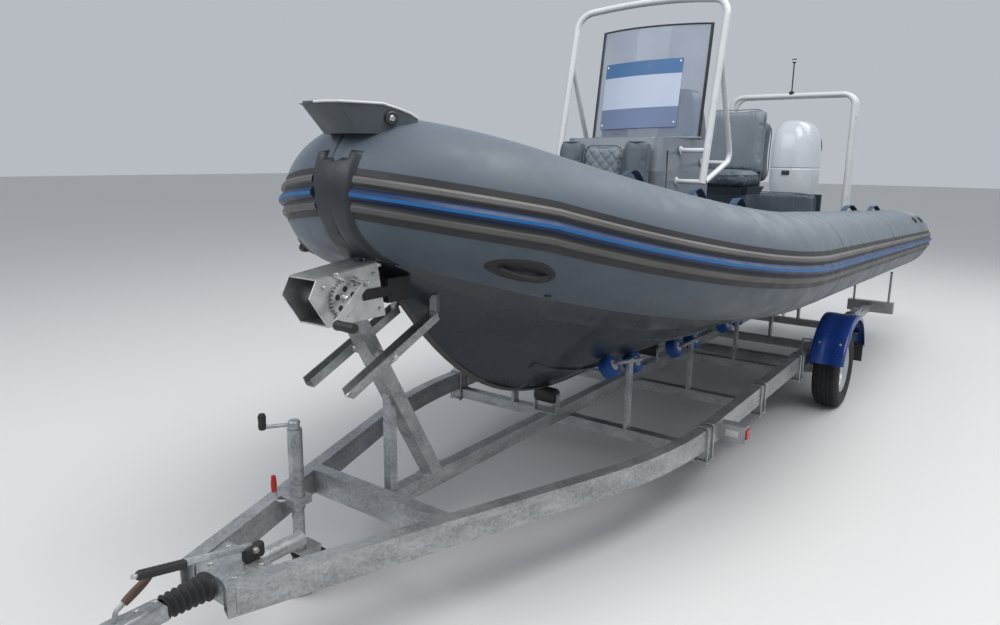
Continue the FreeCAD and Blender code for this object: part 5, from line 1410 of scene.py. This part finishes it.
def arch_parts():
    """Two hoops with feet and rungs, and the pole with its lamp."""
    parts = []
    for count, (x, foot) in enumerate(((ARCH_FRONT, 1190), (ARCH_BACK, 980))):
        corners = [at(x, ARCH_Y, foot), at(x, ARCH_Y, 2455), at(x, -ARCH_Y, 2455), at(x, -ARCH_Y, foot)]
        parts.append(round_bar("arch_hoop_%d" % count, rounded_path(corners, 0.110, 14), 24, "hoop_white",
                sides=28))
        for side in (1, -1):
            parts.append(lathe("arch_foot_%d_%d" % (count, side + 1), [(0, TIP), (0, 44), (5, 43),
                    (9, 30), (14, 24.5)], at(x, side * ARCH_Y, foot), Z_AXIS, "hoop_white", segments=36))
    for side in (1, -1):
        for z in (1500, 2250):
            line = [at(ARCH_FRONT, side * ARCH_Y, z), at(ARCH_BACK, side * ARCH_Y, z)]
            parts.append(round_bar("arch_rung_%d_%d" % (side + 1, z), line, 12, "hoop_white", sides=16))
    whole = merged("stern_arch_dressed", parts)
    socket = lathe("pole_socket", [(-12, TIP), (-12, 26), (10, 26), (16, 20), (24, 10), (24, TIP)],
            at(ARCH_FRONT, 0, 2479), Z_AXIS, "helm_black")
    pole = round_bar("pole", [at(ARCH_FRONT, 0, 2480), at(ARCH_FRONT, 0, 2768)], 6.5, "clamp_dark",
            sides=16)
    lamp = lathe("pole_lamp", [(0, TIP), (0, 12), (6, 18), (12, 19), (28, 19), (34, 20), (40, 19),
            (42, TIP)], at(ARCH_FRONT, 0, 2764), Z_AXIS, ["helm_black", "lens_white"],
            strips=[0, 0, 0, 1, 0, 0, 0], segments=32)
    light = merged("light_pole", [socket, pole, lamp])
    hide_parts("stern_arch")
    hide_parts("stern_arch")


arch_parts()


# Road wheels

WHEEL_Y, WHEEL_Z, GUARD_Y = 998, 295, 1020


def tyre(name, side, body):
    """Tread with four grooves and cut shoulders, bulged sidewalls with a rib."""
    centre = at(0, side * WHEEL_Y, WHEEL_Z)
    half_profile = [(0, 294.6, 0)]
    for groove in (17, 46):
        half_profile += [(groove - 3.5, 294.2, 0), (groove - 3, 287.5, 0), (groove + 3, 287.5, 0),
                (groove + 3.5, 293.8, 0)]
    half_profile += [(56, 293.2, 1), (64, 292.0, 1), (70, 289.5, 1), (76, 284, 1), (82, 276, 0),
            (86, 270, 0), (87.5, 269, 0), (91, 252, 0), (92.4, 236, 0), (91.5, 222, 0), (90, 214, 0),
            (88.5, 213, 0), (86, 200, 0), (81, 186, 0), (76, 178, 0), (72, 173, 0), (69, 170.5, 0)]
    profile = [(-a, r, cut) for a, r, cut in half_profile[:0:-1]] + half_profile
    segments = 288
    rings = []
    for step in range(segments):
        angle = 2 * math.pi * step / segments
        ring = []
        for across, radius, cut in profile:
            phase = (step + (2 if across > 0 else 0)) % 6
            depth = 5.5 if cut and phase == 0 else 0
            inner = 2.5 if not cut and abs(across) < 45 and radius > 292 and (step % 9) == 0 else 0
            reach = (radius - depth - inner) / 1000
            ring.append(centre + Vector((reach * math.sin(angle), across / 1000, reach * math.cos(angle))))
        rings.append(ring)
    rings.append(rings[0])
    return skin(name, rings, "tyre_rubber", body, closed=False, capped=False, sharp=28)


def steel_rim(name, side, body):
    """A pressed disc with ten slots in a rolled rim, made as a sheet and thickened."""
    centre = at(0, side * WHEEL_Y, WHEEL_Z)
    # radius and outboard offset of the sheet, from the outer lip to the hub
    sheet = [(176, 73.5), (175, 70), (171, 68), (168, 62), (160, 56), (150, 46), (147, 36), (145, 30),
            (142, 29), (137, 30), (132, 30.5), (127, 30.5), (122, 30), (112, 27), (98, 22), (84, 21),
            (76, 22), (70, 27), (58, 29), (40, 29), (34, 29)]
    barrel = [(147, 40), (146, 10), (146, -20), (152, -30), (160, -50), (168, -62), (171, -68),
            (175, -70), (176, -73.5)]
    segments = 120
    parts = []
    for label, line, slotted in (("disc", sheet, True), ("barrel", barrel, False)):
        points, faces = [], []
        for angle in turns(segments):
            for radius, offset in line:
                reach = Vector((radius * math.sin(angle), side * offset, radius * math.cos(angle)))
                points.append(centre + reach / 1000)
        count = len(line)
        for step in range(segments):
            after = (step + 1) % segments
            for level in range(count - 1):
                radius = line[level][0]
                in_slot = slotted and 122 < radius <= 142 and line[level + 1][0] >= 122
                if in_slot and step % 12 in (4, 5, 6, 7):
                    continue
                faces.append((step * count + level, after * count + level, after * count + level + 1,
                        step * count + level + 1))
        part = from_lists(name + "_" + label, points, faces, "rim_silver", body, 40)
        thick = part.modifiers.new("thick", "SOLIDIFY")
        thick.thickness = 0.0035
        thick.offset = -1
        bpy.context.view_layer.objects.active = part
        bpy.ops.object.modifier_apply(modifier=thick.name)
        parts.append(part)
    axis = Y_AXIS * side
    parts.append(lathe(name + "_hub", [(-50, 50), (28, 50), (30, 36), (46, 33), (56, 28), (61, 18),
            (63, TIP)], centre, axis, "winch_steel", body, 40))
    for count in range(5):
        angle = 2 * math.pi * count / 5 + 0.3
        place = centre + Vector((0.056 * math.sin(angle), side * 0.0285, 0.056 * math.cos(angle)))
        parts.append(bolt(name + "_bolt_%d" % count, place, axis, 10, "winch_steel", body))
    valve = centre + Vector((0.150 * math.sin(1.2), side * 0.044, 0.150 * math.cos(1.2)))
    parts.append(round_bar(name + "_valve", [valve, valve + Vector((0, side * 0.026, 0))], 4,
            "black_rubber", body, 12))
    return merged(name, parts, body)


for label, side in SIDES:
    body = "wheel_" + label
    rubber = tyre("road_tyre_" + label, side, body)
    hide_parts("tyre_" + label)
    metal = steel_rim("road_rim_" + label, side, body)
    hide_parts("rim_" + label)


# Mudguards: a crowned sheet with a rolled lip

def mudguard(name, side):
    """A crowned guard with its bolts and the flap behind the wheel."""
    middle = side * GUARD_Y
    section = [(-118, 388), (-118, 402), (-115.5, 409), (-110, 413), (-100, 414), (-40, 414), (-36, 412),
            (36, 412), (40, 414), (100, 414), (110, 413), (116, 408), (118, 400), (118, 380),
            (115.5, 380), (115.5, 399), (112, 406), (104, 409.5), (40, 409.5), (36, 407.5), (-36, 407.5),
            (-40, 409.5), (-100, 409.5), (-108, 408.5), (-113, 405), (-115.5, 400), (-115.5, 388)]
    rings = []
    steps = 48
    for step in range(steps + 1):
        angle = math.radians(-74 + 148 * step / steps)
        ring = []
        for across, radius in section:
            reach = radius / 1000
            y = middle + side * across
            ring.append(at(0, y, WHEEL_Z) + Vector((reach * math.sin(angle), 0, reach * math.cos(angle))))
        rings.append(ring)
    guard = skin(name, rings, "guard_blue", sharp=40)
    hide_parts("mudguards")
    for count, degrees in enumerate((-52, 52)):
        angle = math.radians(degrees)
        for offset in (-70, 70):
            place = at(0, middle + offset, WHEEL_Z) + Vector((0.414 * math.sin(angle), 0,
                    0.414 * math.cos(angle)))
            bolt("guard_bolt_%s_%d_%d" % (name, count, offset + 70), place,
                    Vector((math.sin(angle), 0, math.cos(angle))), 8)
    # Flap behind the wheel
    angle = math.radians(-74)
    top = at(0, middle, WHEEL_Z) + Vector((0.404 * math.sin(angle), 0, 0.404 * math.cos(angle) + 0.02))
    block("mud_flap_" + name, top + Vector((-0.004, -0.105, -0.150)), top + Vector((0.002, 0.105, 0.0)),
            2, "black_rubber")


mudguard("mudguard_port", 1)
mudguard("mudguard_starboard", -1)


# Rollers

CHINE = ((-1950, 740, 874), (900, 740, 874), (1500, 720, 885), (2000, 660, 920), (2450, 570, 975),
        (2800, 470, 1040))


def keel_at(x):
    """Height of the keel at a place along X."""
    share = max(0.0, (x - 2050) / 1750)
    return 557 + 873 * share ** 3


def chine_at(x):
    """Half width and height of the chine where the hull lies on rollers."""
    for aft, fore in zip(CHINE, CHINE[1:]):
        if aft[0] <= x <= fore[0]:
            share = (x - aft[0]) / (fore[0] - aft[0])
            return aft[1] + share * (fore[1] - aft[1]), aft[2] + share * (fore[2] - aft[2])
    return CHINE[0][1:]


def bottom_at(x, y):
    """Height of the bottom between keel and chine."""
    half, height = chine_at(x)
    return keel_at(x) + (height - keel_at(x)) * abs(y) / half


def roller_place(x, side):
    """Centre and direction of a roller that touches the bottom."""
    half, height = chine_at(x)
    angle = math.atan2(height - keel_at(x), half)
    rise = math.atan2(bottom_at(x + 50, 300) - bottom_at(x - 50, 300), 100)
    reach = 60.3 / math.cos(rise) + 0.3
    centre = at(x, side * (300 + reach * math.sin(angle)), bottom_at(x, 300) - reach * math.cos(angle))
    return centre, Vector((0, side * math.cos(angle), math.sin(angle)))


def side_roller(name, x, side):
    """A ribbed roller with its two hubs and a nut."""
    centre, along = roller_place(x, side)
    body = lathe(name, [(-35, 30), (-35, 50), (-32, 56.5), (-26, 59.5), (-12, 59.8), (-10, 57.5),
            (-6, 57.5), (-4, 59.8), (4, 59.8), (6, 57.5), (10, 57.5), (12, 59.8), (26, 59.5), (32, 56.5),
            (35, 50), (35, 30)], centre, along, "roller_blue", sharp=30)
    parts = [body]
    for end in (-1, 1):
        parts.append(lathe(name + "_hub_%d" % (end + 1), [(26, 29.5), (34.5, 29.5), (37, 27), (37, 11),
                (40, 9), (40, 8.5)], centre, along * end, "hub_white", segments=32))
    nut = centre + along * -0.0425
    parts.append(bolt(name + "_nut", nut, along * -1, 8))
    return merged(name, parts)


ROCKERS = (2240, 1330, 420, -490, -1400)
rollers = []
for middle in ROCKERS:
    for offset in (-145, 145):
        for label, side in SIDES:
            rollers.append(side_roller("hull_roller_%s_%d" % (label, middle + offset + NAME_SHIFT),
                    middle + offset, side))
whole = merged("hull_rollers", rollers)
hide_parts("side_rollers")

keels = []
for x in (2480, 1150, -100, -1300):
    centre = at(x, 0, keel_at(x) - 46.3)
    keels.append(lathe("keel_roller_%d" % (x + NAME_SHIFT), [(-65, 12), (-65, 36), (-60, 41.5), (-50, 44),
            (-20, 44.5), (-6, 44), (6, 44), (20, 44.5), (50, 44), (60, 41.5), (65, 36), (65, 12)], centre,
            Y_AXIS, "roller_black"))
    for side in (1, -1):
        keels.append(bolt("keel_roller_nut_%d_%d" % (x + NAME_SHIFT, side + 1),
                centre + Vector((0, side * 0.0765, 0)), Y_AXIS * side, 9))
whole = merged("keel_roller_set", keels)
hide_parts("keel_rollers")


# Trailer: U-bolts at the crossings, markers, rear lamps and guide posts

RAIL_Y = 830


def u_bolts():
    """A pair of U-bolts, a plate and four nuts at each crossing of a cross beam and a side rail."""
    pieces = []
    for x in ROCKERS:
        for side in (1, -1):
            name = "crossing_%d_%d" % (x + NAME_SHIFT, side + 1)
            plate_low = at(x - 54, side * RAIL_Y - 46, 277)
            pieces.append(block(name + "_plate", plate_low, plate_low + Vector((0.108, 0.092, 0.0065)),
                    1.5, "galvanised", segments=1))
            for offset in (-38, 38):
                corners = [at(x + offset, side * RAIL_Y - 37, 266),
                        at(x + offset, side * RAIL_Y - 37, 461), at(x + offset, side * RAIL_Y + 37, 461),
                        at(x + offset, side * RAIL_Y + 37, 266)]
                pieces.append(round_bar(name + "_bow_%d" % (offset + 38), rounded_path(corners, 0.014, 5),
                        6, "galvanised", sides=10))
                for end in (-37, 37):
                    pieces.append(bolt(name + "_nut_%d_%d" % (offset + 38, end + 37),
                            at(x + offset, side * RAIL_Y + end, 277), -Z_AXIS, 10))
    merged("crossing_u_bolts", pieces)


u_bolts()


def lamps():
    """Markers on the front brackets, light units at the stern and their thin posts."""
    for label, side in SIDES:
        reflector = block("front_reflector_" + label, at(2099, side * 930 - 34, 378),
                at(2106, side * 930 + 34, 414), 3, "lens_white")
        marker = block("front_marker_" + label, at(2036, side * 1000 - 4, 372),
                at(2092, side * 1000 + 9, 424), 4, "lens_red")
        merged("front_marker_set_" + label, [reflector, marker])
        parts = [block("rear_lamp_case_" + label, at(-2366, side * 850 - 198, 336),
                at(-2347, side * 850 + 198, 434), 8, "black_rubber")]
        for middle, half, material in ((1010, 30, "lens_amber"), (905, 66, "lens_red"),
                (790, 40, "lens_red"), (705, 36, "lens_white")):
            parts.append(block("rear_lens_%s_%d" % (label, middle), at(-2374, side * middle - half, 346),
                    at(-2362, side * middle + half, 424), 4, material))
            for row in range(1, 5):
                height = 346 + row * 16
                rib_low = at(-2375.5, side * middle - half + 5, height - 1.5)
                rib_high = at(-2373, side * middle + half - 5, height + 1.5)
                parts.append(block("rear_lens_rib_%s_%d_%d" % (label, middle, row), rib_low, rib_high,
                        0.8, material, segments=1))
        merged("rear_lamp_" + label, parts)
        posts = []
        for y in (690, 1010):
            posts.append(round_bar("guide_post_%s_%d" % (label, y), [at(-2315, side * y, 438),
                    at(-2315, side * y, 590), at(-2315, side * y, 742)], 11, "galvanised", sides=16))
            posts.append(lathe("guide_post_cap_%s_%d" % (label, y),
                    [(-4, 11.8), (4, 11.8), (8, 9), (10, TIP)], at(-2315, side * y, 742), Z_AXIS,
                    "black_rubber", segments=20))
        merged("guide_posts_" + label, posts)


lamps()


# Winch: webbing on the drum and to the bow eye, nuts on the gears, the grip of its crank

DRUM = at(4027.6, 0, 1312.6)


def winch_dress():
    """Webbing from drum to bow eye, gear, pawl, crank grip and bolts."""
    lathe("winch_webbing_roll", [(-26, 34), (-26, 54), (-24, 55.5), (24, 55.5), (26, 54), (26, 34)], DRUM,
            Y_AXIS, "strap_webbing")
    start = DRUM + Vector((0.016, 0, 0.0545))
    end = at(3866, 0, 1434)
    along = (end - start).normalized()
    up = upwards(Y_AXIS.cross(along).normalized())
    rings = []
    for step in range(13):
        part = step / 12
        middle = start.lerp(end, part)
        half = 0.025 - 0.010 * max(0.0, part - 0.88) / 0.12
        rings.append([middle + Vector((0, half, 0)) + up * 0.001,
                middle - Vector((0, half, 0)) + up * 0.001, middle - Vector((0, half, 0)) - up * 0.001,
                middle + Vector((0, half, 0)) - up * 0.001])
    band = skin("winch_webbing", rings, "strap_webbing", sharp=50)
    sewn = block("webbing_fold", end - Vector((0.002, 0.016, 0.006)), end + Vector((0.034, 0.016, 0.004)),
            2, "strap_webbing", turn=(end, "Y", 24))
    hook_line = rounded_path([end + Vector((0.004, 0, -0.002)), at(3850, 0, 1440), at(3829, 0, 1441),
            at(3829, 0, 1424), at(3852, 0, 1420)], 0.008, 6)
    hook = round_bar("webbing_hook", hook_line, 5.5, "propeller_steel", sides=14)
    merged("winch_strap", [band, sewn, hook])
    pieces = []
    gear_side = DRUM + Vector((0, 0.092, 0))
    pinion = gear_side + Vector((-0.064, 0, 0.055))
    pieces.append(bolt("gear_nut", gear_side, Y_AXIS, 16))
    for turn in range(5):
        angle = 2 * math.pi * turn / 5
        pieces.append(lathe("gear_hole_%d" % turn, [(0.4, TIP), (0.4, 11), (0, 11.5)],
                gear_side + Vector((0.038 * math.sin(angle), 0, 0.038 * math.cos(angle))), Y_AXIS,
                "helm_black", segments=20))
    pieces.append(bolt("pinion_nut", pinion + Vector((0, 0.051, 0)), Y_AXIS, 11))
    crank_end = pinion + Vector((0.150, 0.042, -0.130))
    pieces.append(lathe("crank_grip", [(4, 14.2), (4, 18), (10, 19.5), (30, 17.5), (60, 18.5), (88, 19.5),
            (100, 17), (103, TIP)], crank_end, Y_AXIS, "helm_black", segments=32))
    # Ratchet pawl over the gear and its spring
    pawl = gear_side + Vector((0.030, -0.006, 0.092))
    pieces.append(plate("ratchet_pawl", [pawl + Vector((-0.044, 0, -0.028)),
            pawl + Vector((-0.036, 0, -0.030)), pawl + Vector((0.016, 0, -0.006)),
            pawl + Vector((0.022, 0, 0.008)), pawl + Vector((0.006, 0, 0.014))], Vector((0, 0.007, 0)), 1,
            "winch_steel"))
    pieces.append(bolt("pawl_bolt", pawl + Vector((0.006, 0.007, 0.002)), Y_AXIS, 7))
    for side in (1, -1):
        for x, z in ((-70, 30), (150, 30), (-40, 170), (206, 150)):
            pieces.append(bolt("cheek_bolt_%d_%d_%d" % (side + 1, x + 100, z),
                    at(3909.6 + x, side * 78, 1214.6 + z), Y_AXIS * side, 8))
    merged("winch_fittings", pieces)


winch_dress()


# Arms that steady the bow: open channels with a pad and its pivot

def channel(name, start, end, half, depth, wall):
    """A channel with rolled edges that opens upwards between two points in a plane along the boat."""
    along = (end - start).normalized()
    up = upwards(Y_AXIS.cross(along).normalized())
    outline = [(-half, depth), (-half, -depth + 0.004), (-half + 0.004, -depth), (half - 0.004, -depth),
            (half, -depth + 0.004), (half, depth), (half - wall, depth),
            (half - wall, -depth + wall + 0.003), (half - wall - 0.003, -depth + wall),
            (-half + wall + 0.003, -depth + wall), (-half + wall, -depth + wall + 0.003),
            (-half + wall, depth)]
    rings = [[point + Y_AXIS * across + up * rise for across, rise in outline] for point in (start, end)]
    return skin(name, rings, "galvanised", sharp=40)


ARM_Y = 112


def arm_set(label, side):
    """One arm with its bolts, pivot and pad."""
    start, end = at(4046, side * ARM_Y, 959), at(3560, side * ARM_Y, 1176)
    parts = [channel("arm_" + label, start, end, 0.025, 0.020, 0.004)]
    along = (end - start).normalized()
    up = upwards(Vector((-along.z, 0, along.x)))
    for count, share in enumerate((0.12, 0.30, 0.62, 0.84)):
        middle = start.lerp(end, share)
        parts.append(bolt("arm_bolt_%s_%d" % (label, count), middle - up * 0.0165, up, 9))
    parts.append(round_bar("arm_pivot_" + label, [at(3827, side * 40.5, 1057), at(3827, side * 87, 1057)],
            16, "galvanised"))
    parts.append(bolt("arm_pivot_nut_" + label, at(3827, side * 137, 1057), Y_AXIS * side, 14))
    parts.append(block("arm_pad_foot_" + label, at(3553, side * ARM_Y - 14, 1150),
            at(3577, side * ARM_Y + 14, 1196), 3, "galvanised"))
    pad_low, pad_high = at(3543, side * ARM_Y - 19, 1188), at(3566, side * ARM_Y + 19, 1272)
    parts.append(block("arm_pad_" + label, pad_low, pad_high, 7, "pad_light", segments=4))
    parts.append(block("arm_pad_plate_" + label, at(3566, side * ARM_Y - 17, 1192),
            at(3571, side * ARM_Y + 17, 1266), 2, "galvanised"))
    return parts


whole = merged("bow_arm_set", arm_set("port", 1) + arm_set("starboard", -1))
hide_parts("bow_arms")


# Coupling, handbrake and jockey wheel

def coupling_parts():
    """Draw tube, bellows, mount, head, lever and grip."""
    middle = at(0, 0, 404)
    ahead = X_AXIS
    tube = lathe("draw_tube", [(4200, TIP), (4200, 30), (4604, 30)], middle, ahead, "galvanised",
            segments=40)
    profile = [(4596, 30.2), (4596, 50), (4604, 51)]
    for step in range(49):
        along = 4606 + 140 * step / 48
        profile.append((along, 42.5 + 5.8 * math.cos(2 * math.pi * step / 8) - 6 * step / 48))
    profile += [(4750, 36), (4752, 30.2)]
    bellows = lathe("coupling_bellows", profile, middle, ahead, "black_rubber", sharp=50)
    half_back, half_front = 195, 152
    mount = plate("coupling_mount", [at(4420, half_back, 352), at(4585, half_front, 352),
            at(4585, -half_front, 352), at(4420, -half_back, 352)], Vector((0, 0, 0.096)), 4,
            "galvanised")
    outline = [(4748, -32), (4860, -34), (4888, -41), (4930, -41), (4952, -30), (4960, 0)]
    corners = [at(x, y, 374) for x, y in outline] + [at(x, -y, 374) for x, y in outline[-2::-1]]
    middle_head = at(4880, 0, 374)
    rings = []
    for rise, shrink in ((0.0, 1.0), (0.006, 1.02), (0.030, 1.02), (0.048, 0.96), (0.058, 0.84),
            (0.062, 0.66)):
        rings.append([Vector((middle_head.x + (c.x - middle_head.x) * (0.5 + shrink / 2), c.y * shrink,
                c.z + rise)) for c in corners])
    head = skin("coupling_head", rings, "galvanised", sharp=45)
    bolts = []
    for x in (4775, 4835):
        bolts.append(bolt("coupling_bolt_%d" % x, at(x, 0, 435), Z_AXIS, 10))
    for x in (4450, 4555):
        for y in (-90, -40, 100):
            bolts.append(bolt("mount_bolt_%d_%d" % (x, y + 100), at(x, y, 448), Z_AXIS, 10))
    lever = round_bar("coupling_lever", rounded_path([at(4905, 0, 432), at(4893, 0, 470),
            at(4850, 0, 494)], 0.012, 6), 8, "galvanised", sides=16)
    grip_start, grip_end = at(4868, 0, 484), at(4772, 0, 538)
    line = [grip_start.lerp(grip_end, step / 12) for step in range(13)]
    radii = [9.5 + 5 * math.sin(math.pi * min(1.0, (step + 1.6) / 12)) ** 0.5 for step in range(13)]
    grip = round_bar("coupling_grip", line, 14, "grip_brown", radii=radii)
    whole = merged("coupling_dressed", [tube, bellows, mount, head, lever, grip] + bolts)
    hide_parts("coupling")


coupling_parts()


def handbrake_parts():
    """Boot, lever, ribbed grip, button and pin."""
    base = block("brake_boot", at(4402, 32, 449), at(4486, 66, 508), 15, "black_rubber", segments=4)
    lever = block("brake_lever", at(4450, 43, 490), at(4772, 55, 514), 4, "galvanised",
            turn=(at(4450, 49, 500), "Y", -12))
    start, end = at(4690, 49, 550), at(4845, 49, 583)
    line = [start.lerp(end, step / 20) for step in range(21)]
    radii = [12 if step in (0, 20) else 15.5 + 0.9 * (step % 2) for step in range(21)]
    grip = round_bar("brake_grip", line, 16, "black_rubber", radii=radii)
    button = round_bar("brake_button", [end, end + (end - start).normalized() * 0.016], 7.5,
            "winch_steel", sides=16)
    pin = bolt("brake_pin", at(4445, 66, 490), Y_AXIS, 10)
    whole = merged("handbrake_dressed", [base, lever, grip, button, pin])
    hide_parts("handbrake")


handbrake_parts()


JOCKEY_X, JOCKEY_Y = 4045, -215


def jockey_parts():
    """Clamp handle, crank and grip on the outer tube, tyre tread on the small wheel."""
    top = at(JOCKEY_X, JOCKEY_Y, 771)
    pieces = [lathe("jockey_crown", [(0, 24), (4, 24.5), (10, 20), (13, TIP)], top, Z_AXIS, "galvanised",
            segments=32)]
    knob = at(4145, -285, 756)
    pieces.append(lathe("jockey_crank_grip", [(-2, 11.2), (0, 14), (10, 16.5), (30, 15), (52, 16.5),
            (64, 12), (66, TIP)], knob, Z_AXIS, "black_rubber", segments=28))
    clamp = at(JOCKEY_X, JOCKEY_Y, 437)
    for z in (-11, 11):
        pieces.append(lathe("clamp_ring_%d" % (z + 11), [(-4, 30.2), (-4, 40), (4, 40), (4, 30.2)],
                clamp + Vector((0, 0, z / 1000)), Z_AXIS, "galvanised", segments=40))
    handle = rounded_path([clamp + Vector((0.034, -0.020, 0)), clamp + Vector((0.070, -0.044, 0.006)),
            clamp + Vector((0.074, -0.052, 0.110))], 0.012, 6)
    pieces.append(round_bar("clamp_handle_rod", handle, 6.5, "galvanised", sides=14))
    pieces.append(round_bar("clamp_handle_red", [handle[-1] - Vector((0, 0, 0.062)),
            handle[-1] - Vector((0, 0, 0.030)), handle[-1] + Vector((0, 0, 0.006))], 11.5, "handle_red",
            sides=18, radii=[10.5, 12.5, 9]))
    merged("jockey_fittings", pieces)
    centre = at(4000, JOCKEY_Y, 100)
    half_profile = [(3, 100), (15, 100), (25, 97.5), (29, 90), (26, 78), (24.5, 64), (30, 60), (30, 8.8)]
    profile = [(-along, radius) for along, radius in reversed(half_profile)] + half_profile
    strips = [1, 1] + [0] * 11 + [1, 1]
    wheel = lathe("jockey_wheel_dressed", profile, centre, Y_AXIS, ["black_rubber", "rim_silver"],
            "jockey_wheel", 64, strips=strips)
    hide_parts("jockey_wheel")


jockey_parts()


# Hull: spray rails and the light strip along the keel

BOW_CHINE = CHINE + ((3100, 365, 1120), (3350, 260, 1210), (3500, 190, 1275), (3600, 130, 1325),
        (3700, 60, 1385), (3780, 12, 1422))


def section_at(x):
    """Half width and height of the chine and height of the keel."""
    for aft, fore in zip(BOW_CHINE, BOW_CHINE[1:]):
        if aft[0] <= x <= fore[0]:
            share = (x - aft[0]) / (fore[0] - aft[0])
            half = aft[1] + share * (fore[1] - aft[1])
            return half, aft[2] + share * (fore[2] - aft[2]), keel_at(x)
    return BOW_CHINE[0][1], BOW_CHINE[0][2], keel_at(x)


def flank_point(x, y):
    """A point on the hull's bottom."""
    half, height, keel = section_at(x)
    return at(x, y, keel + (height - keel) * abs(y) / half)


def flank_normal(x, y):
    """The direction that leads away from the bottom."""
    ahead = flank_point(x + 20, y) - flank_point(x - 20, y)
    across = flank_point(x, y + 10 * math.copysign(1, y)) - flank_point(x, y)
    normal = ahead.cross(across).normalized()
    return normal if normal.z < 0 else -normal


BOTTOM_AFT = -1930


def spray_rail(name, y, end, width, depth):
    """A rail along the bottom that tapers at both ends."""
    rings = []
    steps = 60
    for step in range(steps + 1):
        x = BOTTOM_AFT + (end - BOTTOM_AFT) * step / steps
        taper = min(1.0, step / 4, (steps - step) / 8)
        outer, inner = flank_point(x, y), flank_point(x, y - math.copysign(width, y))
        normal = flank_normal(x, y)
        drop = depth / 1000 * taper
        rings.append([inner - normal * 0.003, outer - normal * 0.003, outer + normal * 0.0006,
                outer + normal * drop, outer.lerp(inner, 0.12) + normal * drop, inner + normal * 0.0008])
    return skin(name, rings, "hull_gelcoat", sharp=28)


rails = []
for label, side in SIDES:
    rails.append(spray_rail("spray_rail_inner_" + label, side * 190, 2900, 34, 11))
    rails.append(spray_rail("spray_rail_outer_" + label, side * 490, 2560, 38, 12))
merged("spray_rails", rails)


def keel_strip():
    """The light strip on the keel."""
    rings = []
    steps = 80
    for step in range(steps + 1):
        x = BOTTOM_AFT + 5640 * step / steps
        reach = min(19.0, section_at(x)[0] * 0.55)
        ring = []
        for y in (-reach, -reach * 0.5, -0.5, 0.5, reach * 0.5, reach):
            normal = flank_normal(x, y)
            lift = 0.0003 if abs(y) == reach else 0.0013
            ring.append(flank_point(x, y) + normal * lift)
        rings.append(ring)
    skin("keel_strip", rings, "strake_grey", closed=False, capped=False, sharp=40)


keel_strip()

# Deck: non-slip panels, the hatch's fittings, eyes on the transom
DECK_PANELS = (
    ("walkway_port", (500, 372), (1840, 600)),
    ("walkway_starboard", (500, -600), (1840, -372)),
    ("foredeck", (2270, -380), (2440, 380)),
    ("helm_floor", (330, -330), (1010, 330)),
    ("aft_port", (-560, 300), (250, 600)),
    ("aft_starboard", (-560, -600), (250, -300)),
)
for name, low, high in DECK_PANELS:
    block("deck_panel_" + name, at(low[0], low[1], 999), at(high[0], high[1], 1003.5), 1.2,
            "moulded_grey", segments=1)

HATCH = at(2990, 0, 1477.69)
SLOPE = 12.6
HATCH_TURN = Matrix.Rotation(math.radians(-SLOPE), 3, "Y")


def on_hatch(ahead, across, rise):
    """A point on the closed hatch, counted from its hinge line."""
    return HATCH + HATCH_TURN @ Vector((ahead / 1000, across / 1000, rise / 1000))


def hatch_parts():
    """Hinges, knuckles, latch and grip panel of the bow hatch."""
    pieces = []
    for across in (-150, 150):
        low = HATCH + Vector((-0.050, across / 1000 - 0.022, 0.0255))
        high = HATCH + Vector((-0.004, across / 1000 + 0.022, 0.0305))
        pieces.append(block("hatch_hinge_%d" % (across + 150), low, high, 2, "propeller_steel",
                "bow_hatch", turn=(HATCH, "Y", -SLOPE)))
        pieces.append(round_bar("hatch_knuckle_%d" % (across + 150), [on_hatch(-5, across - 24, 30),
                on_hatch(-5, across + 24, 30)], 5, "propeller_steel", "bow_hatch", 14))
    latch = on_hatch(-390, 0, 26)
    up = HATCH_TURN @ Z_AXIS
    pieces.append(lathe("hatch_latch", [(-2, TIP), (-2, 30), (3, 30), (5, 26), (2, 22), (2, TIP)], latch,
            up, "propeller_steel", "bow_hatch", 36))
    merged("hatch_fittings", pieces, "bow_hatch")
    panel_low = HATCH + Vector((-0.400, -0.180, 0.0255))
    panel_high = HATCH + Vector((-0.075, 0.180, 0.0280))
    block("hatch_grip_panel", panel_low, panel_high, 1, "moulded_grey", "bow_hatch",
            turn=(HATCH, "Y", -SLOPE), segments=1)


hatch_parts()

for label, side in SIDES:
    base = lathe("tow_eye_base_" + label, [(-2, TIP), (-2, 30), (4, 29), (6, 22), (6, TIP)],
            at(-1950, side * 520, 960), -X_AXIS, "propeller_steel", segments=32)
    path = rounded_path([at(-1952, side * 520, 935), at(-2000, side * 520, 935),
            at(-2000, side * 520, 985), at(-1952, side * 520, 985)], 0.022, 8)
    merged("tow_eye_" + label, [base, round_bar("tow_eye_loop_" + label, path, 6, "propeller_steel",
            sides=14)])
